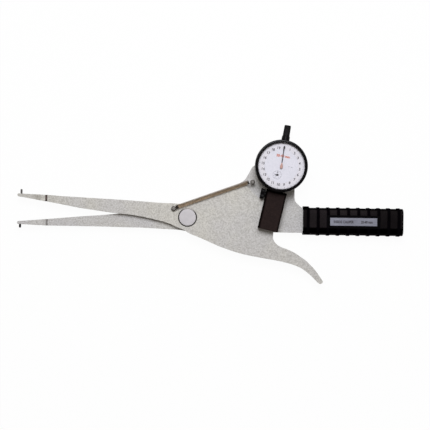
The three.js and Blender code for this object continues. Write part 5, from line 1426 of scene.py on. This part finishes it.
@dataclass
class Grip:
    """The ribbed grip in two shells, with its screws and label.

    Attributes:
        start: X of the grip's left end in millimetres.
        length: Its length.
        y: Y of its middle.
        level: Level of the seam.
        half_height: Half its height.
        half_depth: Half its depth.
        corner: Radius of its long edges.
        rib_first: X of the first rib's middle.
        rib_pitch: Distance between ribs.
        rib_count: Number of ribs.
        rib_base: Width of a rib at its foot.
        rib_crest: Width of a rib at its top.
        proud: How far ribs stand out.
        collar: Length of the collar at the left end.
        collar_slope: Length of the slope between the collar and the rest.
        collar_proud: How far the collar stands out, and is lifted.
        end_taper: Length and depth of the taper at the right end.
        seam: Half the gap between the shells.
        edge: Rounding of the moulded edges.
        front_pad: Left, right, lowest and highest of the label's recess in the front.
        back_pad_half: Half the height of the flat pad on the back.
        pocket: Right end, lowest Y, highest Y and half depth of the hollow for the frame's tang.
        screw_x: X of the three screws.
        head_bore: Radius of the screw heads' bores, and the level they reach.
        shank_bore: Radius of the shanks' bores, and the level they reach.
        bed: Left, right, lowest and highest of the label's black bed.
        bed_levels: Back and front of that bed above the recess.
        label_low: The label's lowest corner.
        label_high: The label's highest corner.
        letter: Height of the label's digits.
        words_at: Where the two groups of words stand from the label's middle.
    """

    start: float = 98.1
    length: float = 105.2
    y: float = -17.359
    level: float = 10.25
    half_height: float = 14.3
    half_depth: float = 9.5
    corner: float = 5.8
    rib_first: float = 113.6
    rib_pitch: float = 10.6
    rib_count: int = 9
    rib_base: float = 3.8
    rib_crest: float = 2.2
    proud: float = 0.7
    collar: float = 6.5
    collar_slope: float = 0.8
    collar_proud: float = 0.75
    end_taper: float = 0.6
    seam: float = 0.05
    edge: float = 0.28
    front_pad: Quad = (122.1, 179.3, -24.409, -10.009)
    back_pad_half: float = 7.15
    pocket: Quad = (193.6, -27.909, -5.709, 2.8)
    screw_x: Triple = (112.828, 152.804, 188.572)
    head_bore: Pair = (3.1, 3.65)
    shank_bore: Pair = (1.7, 17.4)
    bed: Quad = (123.4, 179.0, -24.3, -10.6)
    bed_levels: Pair = (0.004, 0.045)
    label_low: Triple = (126.1, -21.559, 19.8)
    label_high: Triple = (175.5, -13.259, 20.6)
    letter: float = 2.7
    words_at: Pair = (-10.6, 13.8)

    def swell(self, piece: Piece, low: float, high: float, proud: float, lift: float = 0) -> None:
        """Makes the open grip thicker or thinner between two stations along X.

        Args:
            piece: The grip in edit mode.
            low: First X in millimetres.
            high: Last X.
            proud: How far it grows all round.
            lift: How far it moves to +Y.
        """
        Bench.choose_points(piece, lambda spot: low * MM - TINY <= spot.x <= high * MM + TINY)
        shares = (1, 1 + proud / self.half_height, 1 + proud / self.half_depth)
        Bench.resize(shares, (low, self.y, self.level))
        if lift:
            bpy.ops.transform.translate(value=(0, lift * MM, 0))

    def outside(self) -> Piece:
        """Models the grip's whole outer form with its ribs and collar.

        Returns:
            The solid form, not yet cut into shells.
        """
        end = self.start + self.length
        piece = Bench.block(
            "grip_form", (self.start, self.y - self.half_height, self.level - self.half_depth),
            (end, self.y + self.half_height, self.level + self.half_depth))
        with Bench.editing(piece):
            Bench.choose_edges(piece, lambda edge: abs(edge.verts[0].co.x - edge.verts[1].co.x) > 0.05)
            bpy.ops.mesh.bevel(offset=self.corner * MM, segments=9, affect="EDGES")
            bpy.ops.mesh.select_mode(type="VERT")
            collar_end = self.start + self.collar
            slope = collar_end - self.collar_slope
            stations = [slope, collar_end, end - self.end_taper]
            crests = []
            for rib in range(self.rib_count):
                middle = self.rib_first + rib * self.rib_pitch
                crest = (middle - self.rib_crest / 2, middle + self.rib_crest / 2)
                stations += [middle - self.rib_base / 2, *crest, middle + self.rib_base / 2]
                crests.append(crest)
            for station in stations:
                Bench.choose_all()
                bpy.ops.mesh.bisect(plane_co=(station * MM, 0, 0), plane_no=(1, 0, 0))
            for low, high in crests:
                self.swell(piece, low, high, self.proud)
            self.swell(piece, self.start, slope, self.collar_proud, self.collar_proud)
            self.swell(piece, end, end, -self.end_taper)
        return piece

    def half(self, name: str, front: bool) -> Piece:
        """Cuts one shell out of the outer form, with its pads, pocket and bores.

        Args:
            name: The shell's name.
            front: True for the front shell.

        Returns:
            The shell.
        """
        piece = self.outside()
        piece.name = name
        side = 1 if front else -1
        with Bench.editing(piece):
            bpy.ops.mesh.bisect(plane_co=(0, 0, (self.level + side * self.seam) * MM), plane_no=(0, 0, side),
                                use_fill=True, clear_inner=True)
        left, right, low, high = self.front_pad
        if front:
            face = self.level + self.half_depth
            Bench.cut(piece, Bench.block("pad", (left, low, face), (right, high, face + 3)))
        else:
            back = self.level - self.half_depth - self.collar_proud
            pad = Bench.block("pad", (left, self.y - self.back_pad_half, back),
                              (right, self.y + self.back_pad_half, back + 2))
            Bench.cut(piece, pad, "UNION")
            radius, top = self.head_bore
            for x in self.screw_x:
                Bench.bore(piece, radius, (back - 1, top), shift(x, self.y), 36)
        tang_end, bottom, top, half = self.pocket
        Bench.cut(piece, Bench.block("pocket", (self.start - 2, bottom, self.level - half),
                                     (tang_end, top, self.level + half)))
        radius, top = self.shank_bore
        for x in self.screw_x:
            Bench.bore(piece, radius, (-2, top), shift(x, self.y), 24)
        return Bench.soften(piece, self.edge, 2, 28)

    def label(self) -> None:
        """Makes the silver label with its generic lettering, on a black bed in the grip's recess."""
        low_x, high_x, low_y, high_y = self.bed
        back, front = (self.level + self.half_depth + level for level in self.bed_levels)
        bed = Bench.block("label_bed", (low_x, low_y, back), (high_x, high_y, front))
        Bench.finish(Bench.soften(bed, 0.015, 2), BED_BLACK, Body.FRAME, Slot.BLACK_PLASTIC)
        plate = Bench.soften(Bench.block("label_plate", self.label_low, self.label_high), 0.22, 3)
        Bench.finish(plate, LABEL_METAL, Body.FRAME, Slot.LABEL, "name_plate")
        x, y = ((low + high) / 2 for low, high in zip(self.label_low[:2], self.label_high[:2]))
        narrow = Matrix.Diagonal((0.8, 1, 1, 1))
        words = [
            Bench.words(text, self.letter, 0.04, shift(x + far, y, self.label_high[2]) @ narrow, 0.15)
            for text, far in zip(("INSIDE CALIPER", "20-40 mm"), self.words_at)]
        Bench.printed(words, "label_words", DARK_INK)

    def build(self) -> None:
        """Builds both shells, the screws and the label."""
        for side in ("front", "back"):
            shell = self.half(f"grip_{side}_moulding", side == "front")
            Bench.finish(shell, GRIP_PLASTIC, Body.FRAME, Slot.BLACK_PLASTIC, f"grip_{side}_shell")
        for number, turn in enumerate((25, 75, 125), 1):
            SlotScrew(f"grip_screw_{number}", 2.8, 2.0, 1.5, turn).build()
        self.label()


@dataclass
class Guard:
    """The black box over the spindle, the clamp inside it and the clamp's knob.

    Attributes:
        place: X, Y and turn of the box in millimetres and degrees.
        knob_y: The knob's place along the box.
        knob_level: Level of the knob's axis.
        knob_sides: Sides of the knurled knob.
        knob_profile: Radius and distance from the box's middle, along the knob.
        knurl: Start, end and depth share of the knob's knurl.
    """

    place: Triple = (64.5, -8.559, -12.5)
    knob_y: float = 16.9
    knob_level: float = 24.75
    knob_sides: int = 72
    knob_profile: tuple[Pair, ...] = (
        (1.45, 4.3), (1.6, 4.45), (1.6, 10.95), (3.4, 10.95), (3.4, 11.95), (5.1, 11.95), (5.4, 12.25),
        (5.4, 12.6), (5.4, 15.3), (5.4, 15.65), (4.9, 16.15), (3.5, 16.15), (3.2, 15.75), (0, 15.75))
    knurl: Triple = (12.6, 15.3, 0.94)

    def knob(self) -> None:
        """Turns the knurled knob with its collar, shank and dished face."""
        x, y, turn = self.place
        place = shift(x, y) @ rotation(turn) @ shift(0, self.knob_y, self.knob_level) @ rotation(-90, "Y")
        piece = Bench.lathe(
            "clamp_knob_knurled", self.knob_profile, place, self.knob_sides, angle=25, knurl=self.knurl)
        Bench.finish(piece, CAP_BLACK, Body.KNOB, Slot.BLACK_PLASTIC, "clamp_knob")

    def build(self) -> None:
        """Builds the box, the clamp, the knob and the screws."""
        Bench.carved("spindle_guard", "guard_box_rounded", GUARD_PLASTIC, Body.FRAME, Slot.BLACK_PLASTIC,
                     0.35, 3, 45)
        Bench.carved("stem_clamp", "stem_clamp_rounded", CAP_BLACK, Body.FRAME, Slot.BLACK_METAL, 0.25)
        Bench.carved("anvil", "anvil_rounded", SCREW_STEEL, Body.FRONT_PLATE, Slot.SCREW_STEEL, 0.2)
        self.knob()
        SlotScrew("guard_screw_1", 1.5, 1.2, 0.7, -10).build()
        SlotScrew("guard_screw_2", 1.5, 1.2, 0.7, 48).build()
        SlotScrew("clamp_block_screw_1", 2.0, 2.0, 1.0, 80).build()
        SlotScrew("clamp_block_screw_2", 2.0, 2.0, 1.0, 12).build()
        SlotScrew("anvil_screw", 1.5, 1.2, 1.0, -30, True, Body.FRONT_PLATE).build()


@dataclass
class Blade:
    """A flat part of a hand, with two alike halves.

    Attributes:
        name: The piece's name.
        outline: Half width and height pairs in millimetres, from tail to tip.
        level: Level of its back.
        thick: Its thickness.
        edge: Width of its rounding.
        segments: Number of faces across that rounding.
    """

    name: str
    outline: tuple[Pair, ...]
    level: float
    thick: float
    edge: float
    segments: int = 2

    def strip(self) -> Piece:
        """Grows the flat strip row by row from one edge of a plane, and gives it its thickness.

        Returns:
            The blade with sharp edges, about the origin.
        """
        Bench.free()
        width, height = self.outline[0]
        bpy.ops.mesh.primitive_plane_add(size=1, location=(0, 0, 0))
        piece = Bench.added(self.name)
        with Bench.editing(piece):
            bpy.ops.mesh.delete(type="ONLY_FACE")
            Bench.choose_points(piece, lambda spot: spot.y > 0)
            bpy.ops.mesh.delete(type="VERT")
            Bench.choose_all()
            Bench.resize((2 * width * MM, 1, 1))
            bpy.ops.transform.translate(value=(0, 0.5 + height * MM, self.level * MM))
            for next_width, next_height in self.outline[1:]:
                bpy.ops.mesh.extrude_edges_move(
                    TRANSFORM_OT_translate={"value": (0, (next_height - height) * MM, 0)})
                Bench.resize((next_width / width, 1, 1))
                width, height = next_width, next_height
            Bench.choose_all()
            bpy.ops.mesh.extrude_region_move(TRANSFORM_OT_translate={"value": (0, 0, self.thick * MM)})
            Bench.turn_outwards()
        return Bench.settle(piece)

    def build(self, place: Matrix, look: Finish, body: Body, slot: Slot, *nodes: str) -> None:
        """Rounds the blade, puts it in its place and dresses it.

        Args:
            place: Where it goes, with its shift in millimetres.
            look: Its finish.
            body: The body it rides on.
            slot: The record's slot it belongs to.
            nodes: The CAD nodes it replaces.
        """
        piece = Bench.settle(Bench.soften(self.strip(), self.edge, self.segments), place)
        Bench.finish(piece, look, body, slot, *nodes)


class Mark(Enum):
    """The kinds of line on the scale, as length and width in millimetres."""

    TENTH = (1.0, 0.1)
    HALF = (1.5, 0.13)
    WHOLE = (2.0, 0.2)


@dataclass
class Indicator:
    """The dial indicator: case, bezel, crystal, printed face, hands and cap.

    Attributes:
        x: X of the dial's middle in millimetres.
        y: Y of the dial's middle.
        turn: Turn of the dial about the vertical in degrees.
        axis: Level of the spindle's axis.
        case_radius: Radius of the case.
        cover_back: Level of the case's back.
        bore_radii: Radii of the case's bores for the stem and for the cap.
        screw_ring: Radius of the circle that the cover's screws stand on.
        bezel_radius: Radius of the bezel.
        bezel_sides: Sides of the knurled bezel.
        opening: Radius of the bezel's opening.
        rim_back: Level of the bezel's inner ledge, where the crystal starts.
        plate_back: Level of the back of the scale ring and the inner plate.
        face: Level of the printed face.
        ring_inner: Inner radius of the scale ring.
        plate_outer: Outer radius of the inner plate.
        arbor: Radius of the bores for the hands' arbors.
        numbers: Numbers round the scale.
        number_radius: Radius that the numbers are centred on.
        mark_radius: Outer radius of the scale's lines.
        counter: Local X and Y of the counter.
        hand_turn: Turn of the pointer from the dial's top in degrees.
        counter_turn: Turn of the counter's hand in degrees.
        print_thick: Thickness of the print.
        cap_sides: Sides of the fluted cap.
        cap_length: Height of the cap over its foot.
    """

    x: float = 73.25
    y: float = 39.591
    turn: float = -9.0
    axis: float = 24.75
    case_radius: float = 25.8
    cover_back: float = 16.0
    bore_radii: Pair = (4.2, 3.5)
    screw_ring: float = 23.75
    bezel_radius: float = 27.4
    bezel_sides: int = 240
    opening: float = 24.4
    rim_back: float = 37.7
    plate_back: float = 34.05
    face: float = 34.65
    ring_inner: float = 17.69
    plate_outer: float = 17.66
    arbor: float = 0.95
    numbers: int = 20
    number_radius: float = 19.3
    mark_radius: float = 23.9
    counter: Pair = (-2.77, -9.661)
    hand_turn: float = 1.3
    counter_turn: float = 95.0
    print_thick: float = 0.03
    cap_sides: int = 56
    cap_length: float = 17.2

    def base(self) -> Matrix:
        """Returns the dial's own frame."""
        return shift(self.x, self.y) @ rotation(self.turn)

    def upright(self, base: Matrix) -> Matrix:
        """Returns the frame that lays a turned piece's axis along a base's top direction."""
        return base @ shift(z=self.axis) @ rotation(-90, "X")

    def case(self) -> None:
        """Turns the case with a groove in its wall, and the back cover with its raised middle."""
        outer, back = self.case_radius, self.cover_back
        wall = Bench.turned("dial_case_turned", (
            (21.7, 17.25), (outer - 0.5, 17.25), (outer, 17.75), (outer, 19.6), (outer - 0.35, 19.9),
            (outer - 0.35, 20.5), (outer, 20.8), (outer, 29.0), (outer, 33.45), (outer - 0.3, 33.75),
            (23.9, 33.75), (23.9, 20.75), (21.7, 20.75)), 128, True)
        stem, neck = self.bore_radii
        Bench.bore(wall, stem, (-outer - 2, -outer + 4.8), self.upright(Matrix()))
        Bench.bore(wall, neck, (outer - 5, outer + 2), self.upright(Matrix()))
        cover = Bench.turned("back_cover_turned", (
            (21.4, 18.4), (21.4, 17.2), (outer, 17.2), (outer, 16.5), (outer - 0.5, back), (18.4, back),
            (17.9, 16.35), (16.9, 16.35), (16.4, back), (3.0, back), (2.6, 16.25), (0, 16.25)), 128)
        for number in range(4):
            angle = math.radians(45 + 90 * number)
            spot = shift(self.screw_ring * math.cos(angle), self.screw_ring * math.sin(angle))
            for target, span in ((wall, (15.0, 20.2)), (cover, (14.0, 20.0))):
                Bench.bore(target, 0.9, span, spot, 20)
        for piece, node in ((wall, "dial_case"), (cover, "dial_back_cover")):
            Bench.settle(Bench.soften(piece, 0, 1, 28), self.base())
            Bench.finish(piece, BEZEL_BLACK, Body.FRAME, Slot.BLACK_METAL, node)
        for number, turn in enumerate((15, 80, 145, 210), 1):
            SlotScrew(f"back_cover_screw_{number}", 1.3, 0.7, 0.7, turn).build()

    def bezel(self) -> None:
        """Turns the knurled bezel, the crystal and the gasket under its rim."""
        outer, ledge = self.bezel_radius, self.rim_back
        piece = Bench.lathe("bezel_knurled", (
            (26.1, 30.45), (outer - 0.35, 30.45), (outer, 30.8), (outer, 31.3), (outer, 31.6), (outer, 34.9),
            (outer, 35.2), (outer - 0.45, 35.6), (outer - 0.45, 36.2), (outer - 0.15, 36.6),
            (outer - 0.15, 38.2), (outer - 0.35, 38.85), (outer - 0.8, 39.25), (outer - 1.1, 39.35),
            (25.7, 39.35), (25.5, 39.2), (25.5, ledge), (self.opening, ledge), (self.opening, 34.7),
            (26.1, 34.7),
        ), self.base(), self.bezel_sides, True, 24, (31.6, 34.9, (outer - 0.28) / outer))
        Bench.finish(piece, BEZEL_BLACK, Body.RIM, Slot.BLACK_METAL, "bezel")
        gasket = Bench.lathe("crystal_gasket", (
            (24.0, 37.3), (24.36, 37.3), (24.36, ledge), (24.1, ledge), (24.0, 37.6)), self.base(), 128, True)
        Bench.finish(gasket, BED_BLACK, Body.RIM, Slot.BLACK_METAL)
        window = Bench.lathe("crystal_pane", (
            (25.2, 37.75), (25.3, 37.85), (25.3, 38.9), (25.15, 39.05), (0, 39.05),
        ), self.base(), 96, angle=12)
        Bench.finish(window, CLEAR, Body.RIM, Slot.CRYSTAL, "crystal")

    def face_plates(self) -> None:
        """Makes the turning scale ring and the fixed inner dial plate with their edges rounded."""
        back, face, inner, outer = self.plate_back, self.face, self.ring_inner, self.plate_outer
        ring = Bench.lathe("scale_ring_enamelled", (
            (inner + 0.03, back), (25.6, back), (25.6, face), (inner + 0.03, face), (inner, 34.62),
            (inner, 34.08)), self.base(), 128, True)
        Bench.finish(ring, RING_ENAMEL, Body.RIM, Slot.DIAL, "scale_ring")
        plate = Bench.turned("face_plate_enamelled", (
            (self.arbor, back), (outer - 0.04, back), (outer, 34.09), (outer, 34.61), (outer - 0.04, face),
            (self.arbor, face)), 128, True)
        Bench.bore(plate, self.arbor, (33, face + 1), shift(*self.counter), 32)
        for angle in (90, 210, 330):
            foot = Bench.turned("foot", ((1.0, 32.8), (1.2, 33.0), (1.2, 34.3)), 24)
            Bench.cut(plate, Bench.settle(foot, rotation(angle) @ shift(15)), "UNION")
        Bench.settle(Bench.soften(plate, 0, 1), self.base())
        Bench.finish(plate, FACE_ENAMEL, Body.FRAME, Slot.DIAL, "inner_dial_plate")

    def line(self, kind: Mark, angle: float) -> Piece:
        """Makes one line of the scale.

        Args:
            kind: The kind of line.
            angle: Its angle in degrees from the dial's top, clockwise.

        Returns:
            The line.
        """
        length, width = kind.value
        outer = self.mark_radius
        mark = Bench.block("line", (-width / 2, outer - length, self.face),
                           (width / 2, outer, self.face + self.print_thick))
        return Bench.settle(mark, rotation(-angle))

    def scale(self) -> None:
        """Prints ten lines for each number, and the numbers, on the scale ring."""
        step = 360 / self.numbers
        first = [self.line(Mark.WHOLE, 0)]
        for tenth in range(1, 10):
            first.append(self.line(Mark.HALF if tenth == 5 else Mark.TENTH, tenth * step / 10))
        lines = Bench.joined(first, "scale_lines")
        with Bench.editing(lines):
            bpy.ops.mesh.spin(
                steps=self.numbers - 1, dupli=True, angle=math.radians(step * (self.numbers - 1)),
                center=(0, 0, 0), axis=(0, 0, 1))
        Bench.settle(lines, self.base())
        Bench.finish(lines, DARK_INK, Body.RIM, Slot.HAND)
        figures = []
        for number in range(self.numbers):
            angle = math.radians(90 - number * step)
            reach = self.number_radius
            spot = self.base() @ shift(reach * math.cos(angle), reach * math.sin(angle), self.face)
            figures.append(Bench.words(str(number), 2.6, self.print_thick, spot, 0.1))
        Bench.printed(figures, "scale_numbers", DARK_INK, Body.RIM)

    def counter_print(self) -> None:
        """Prints the small counter ring, its figures and the words on the inner plate."""
        base, face, thick = self.base(), self.face, self.print_thick
        at = base @ shift(*self.counter)
        top = face + thick
        ring = Bench.turned("ring", ((4.32, face), (4.48, face), (4.48, top), (4.32, top)), 64, True)
        parts = [Bench.settle(ring, at)]
        for number in range(10):
            mark = Bench.block("mark", (-0.06, 3.7, face), (0.06, 4.3, top))
            parts.append(Bench.settle(mark, at @ rotation(-36 * number)))
        Bench.printed(parts, "counter_ring_print", GREY_INK)
        figures = [Bench.words("0", 1.8, thick, at @ shift(0, 2.7, face), 0.05)]
        for text, angle in (("1", -72), ("2", -144), ("3", 144), ("4", 72)):
            spot = rotation(angle) @ Vector((0, 2.75, 0))
            figures.append(Bench.words(text, 1.0, thick, at @ shift(spot.x, spot.y, face)))
        Bench.printed(figures, "counter_figures", GREY_INK)
        for text, height, spot, weight, name, ink in (
                ("0.1 mm", 1.05, (9.5, 0.7), 0.0, "unit_words", GREY_INK),
                ("20-40 mm", 2.5, (0.2, 10.6), 0.16, "range_words", RED_INK)):
            Bench.printed([Bench.words(text, height, thick, base @ shift(*spot, face), weight)], name, ink)

    def hands(self) -> None:
        """Makes the pointer and the counter's hand, each with its hub."""
        at_middle = self.base() @ rotation(self.hand_turn)
        at_counter = self.base() @ shift(*self.counter) @ rotation(self.counter_turn)
        Blade("pointer_blade", (
            (0.35, -2.9), (0.6, -2.6), (0.62, -1.4), (0.56, 0), (0.47, 3), (0.42, 9), (0.42, 15.2),
            (0.64, 16.4), (0.7, 19.6), (0.62, 20.7), (0.45, 21),
        ), 35.85, 0.3, 0.05).build(at_middle, HAND_PAINT, Body.POINTER, Slot.HAND, "main_pointer")
        Blade("pointer_hub", (
            (0.45, -2.7), (0.95, -2.4), (1.3, -1.7), (1.45, -0.8), (1.42, 0), (1.2, 0.9), (0.9, 1.8),
            (0.62, 2.7), (0.35, 3.4),
        ), 36.15, 0.7, 0.2, 3).build(at_middle, HUB_COPPER, Body.POINTER, Slot.BRASS)
        Blade("counter_blade", (
            (0.35, -1.5), (0.75, -1.2), (0.85, -0.4), (0.8, 0.5), (0.45, 1.3), (0.2, 2.2), (0.1, 2.7),
        ), 35.05, 0.3, 0.04).build(at_counter, HAND_PAINT, Body.COUNTER, Slot.HAND, "counter_hand")
        boss = Bench.lathe("counter_hub", (
            (0.72, 35.04), (1.0, 35.1), (1.0, 35.55), (0.85, 35.78), (0.72, 35.8)), at_counter, 32, True)
        Bench.finish(boss, HAND_PAINT, Body.COUNTER, Slot.HAND)

    def cap(self) -> None:
        """Turns the fluted cap over the spindle's top."""
        foot = self.case_radius + 0.5
        top = foot + self.cap_length
        piece = Bench.lathe("spindle_cap_fluted", (
            (2.4, foot - 3.5), (3.3, foot - 3.5), (3.3, foot), (4.0, foot), (4.2, foot + 0.2),
            (4.2, foot + 4.6), (4.1, foot + 5.0), (3.6, foot + 6.4), (3.6, foot + 6.7), (3.58, foot + 7.0),
            (3.42, top - 1.3), (3.4, top - 1.0), (3.4, top - 0.6), (3.15, top - 0.2), (2.8, top), (1.2, top),
            (0.9, top - 0.15), (0, top - 0.15),
        ), self.upright(self.base()), self.cap_sides, angle=24, knurl=(foot + 7.0, top - 1.3, 0.95))
        Bench.finish(piece, CAP_BLACK, Body.FRAME, Slot.BLACK_METAL, "spindle_cap")

    def build(self) -> None:
        """Builds every visible piece of the indicator."""
        self.case()
        self.bezel()
        self.face_plates()
        self.scale()
        self.counter_print()
        self.hands()
        self.cap()


@dataclass
class CarriedNodes:
    """The CAD nodes that stay as they are and get a finish of their own.

    Attributes:
        looks: Finish of each node that isn't replaced.
        fallback: Finish of the steel nodes and of those that new pieces stand for.
    """

    looks: dict[str, Finish] = field(default_factory=lambda: {
        "pivot_bush": BRASS, "transfer_gear": BRASS, "counter_gear": HAND_PAINT,
        "movement_back_plate": BRASS, "movement_front_plate": BRASS,
    })
    fallback: Finish = SCREW_STEEL

    def dress(self) -> None:
        """Gives every CAD node a procedural finish."""
        for name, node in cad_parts.items():
            look = self.looks.get(name, self.fallback)
            node.data.materials.clear()
            node.data.materials.append(look.material())
            LOG.info("%s: carried over, %s", name, look.name)


@dataclass
class Studio:
    """The floor, the lamp, the world and the camera.

    Attributes:
        middle: X, Y and level of what the photograph's middle shows, in millimetres.
        distance: Distance from the camera to that level.
        turn: Turn of the camera about its view in degrees.
        lens: Focal length in millimetres.
        sensor: Width of the sensor in millimetres.
        far: Distance in metres that the camera sees.
        key_tilt: Tilt of the lamp from overhead towards +Y in degrees.
        key_shift: Tilt of the lamp towards +X in degrees.
        key_distance: Distance of the lamp in millimetres.
        key_size: Width of the lamp in millimetres.
        key_power: Power of the lamp in watts.
        key_colour: Screen colour of the lamp.
        sky: Strength of the room's light where it is even.
        sky_slope: How much it grows towards +X, +Y and overhead.
        sky_colour: Screen colour of the room's light.
        floor_level: Level of the floor in millimetres.
        floor_radius: Radius of the floor in metres.
        glow: Share of plain white in what the camera sees of the floor.
    """

    middle: Triple = (5.14, -12.09, 19.65)
    distance: float = 1200.0
    turn: float = 0.8
    lens: float = 95.68
    sensor: float = 36.0
    far: float = 20.0
    key_tilt: float = 22.0
    key_shift: float = 1.0
    key_distance: float = 1100.0
    key_size: float = 440.0
    key_power: float = 8.8
    key_colour: Triple = (247, 250, 255)
    sky: float = 0.45
    sky_slope: Triple = (0.0, 0.2, -0.2)
    sky_colour: Triple = (255, 248, 238)
    floor_level: float = -0.02
    floor_radius: float = 3.0
    glow: float = 0.96

    def camera(self) -> None:
        """Hangs the camera straight above the caliper."""
        lens = bpy.data.cameras.new("photo_camera")
        lens.sensor_width = self.sensor
        lens.lens = self.lens
        lens.clip_end = self.far
        camera = bpy.data.objects.new("photo_camera", lens)
        x, y, level = self.middle
        camera.location = (x * MM, y * MM, (level + self.distance) * MM)
        camera.rotation_euler = (0, 0, math.radians(self.turn))
        Bench.link(camera)
        bpy.context.scene.camera = camera

    def lamp(self) -> None:
        """Hangs one square lamp that looks at the caliper."""
        light = bpy.data.lights.new("key_lamp", "AREA")
        light.shape = "SQUARE"
        light.size = self.key_size * MM
        light.energy = self.key_power
        light.color = screen(*self.key_colour)[:3]
        lamp = bpy.data.objects.new("key_lamp", light)
        right, up = (math.tan(math.radians(tilt)) for tilt in (self.key_shift, self.key_tilt))
        direction = Vector((right, up, 1)).normalized()
        lamp.location = Vector(self.middle) * MM + direction * self.key_distance * MM
        lamp.rotation_euler = direction.to_track_quat("Z", "Y").to_euler()
        Bench.link(lamp)

    def floor(self) -> None:
        """Lays a plain pale floor that keeps the caliper's soft shadow."""
        Bench.free()
        bpy.ops.mesh.primitive_circle_add(vertices=96, radius=self.floor_radius, fill_type="NGON",
                                          location=(0, 0, self.floor_level * MM))
        floor = Bench.added("studio_floor")
        surface = Surface("studio_floor_paper")
        surface.feed("Base Color", surface.paints(
            surface.noise(40, 2), (0.3, (250, 250, 250)), (0.7, (252, 252, 252))))
        surface.fix(Roughness=0.9, Specular_IOR_Level=0.1)
        white = surface.add("Emission", {"Color": (1, 1, 1, 1)})
        path = surface.add("LightPath").outputs
        seen = surface.combine(path["Is Camera Ray"], path["Is Glossy Ray"], "MAXIMUM")
        seen = surface.combine(seen, path["Is Transmission Ray"], "MAXIMUM")
        mix = surface.add("MixShader", {
            "Fac": surface.spread(seen, 0, 1, 0, self.glow), 1: surface.shader.outputs["BSDF"],
            2: white.outputs["Emission"]})
        surface.tree.links.new(mix.outputs["Shader"], surface.output.inputs["Surface"])
        floor.data.materials.append(surface.material)

    def world(self) -> None:
        """Lights everything softly from all round, and shows white behind."""
        world = bpy.data.worlds.new("soft_room")
        world.use_nodes = True
        tree = world.node_tree
        tree.nodes.clear()
        direction = add_node(tree, "TexCoord").outputs["Generated"]
        slope = add_node(tree, "VectorMath", {0: direction, 1: self.sky_slope}, operation="DOT_PRODUCT")
        level = add_node(tree, "Math", {0: slope.outputs["Value"], 1: self.sky})
        light = add_node(
            tree, "Background", {"Color": screen(*self.sky_colour), "Strength": level.outputs["Value"]})
        white = add_node(tree, "Background", {"Color": (1, 1, 1, 1)})
        path = add_node(tree, "LightPath")
        mix = add_node(tree, "MixShader", {
            "Fac": path.outputs["Is Camera Ray"], 1: light.outputs["Background"],
            2: white.outputs["Background"]})
        add_node(tree, "OutputWorld", {"Surface": mix.outputs["Shader"]})
        bpy.context.scene.world = world

    def build(self) -> None:
        """Sets up the whole studio."""
        self.camera()
        self.lamp()
        self.floor()
        self.world()
        bpy.context.scene.view_settings.view_transform = "Standard"


def main() -> None:
    """Builds the caliper's looks and the studio, in order."""
    logging.basicConfig(level=logging.INFO, format="%(name)s %(message)s")
    CarriedNodes().dress()
    for assembly in (Plates, Pivot, ReturnSpring, Grip, Guard, Indicator, Studio):
        assembly().build()
    Bench.free()


if __name__ == "__main__":
    main()
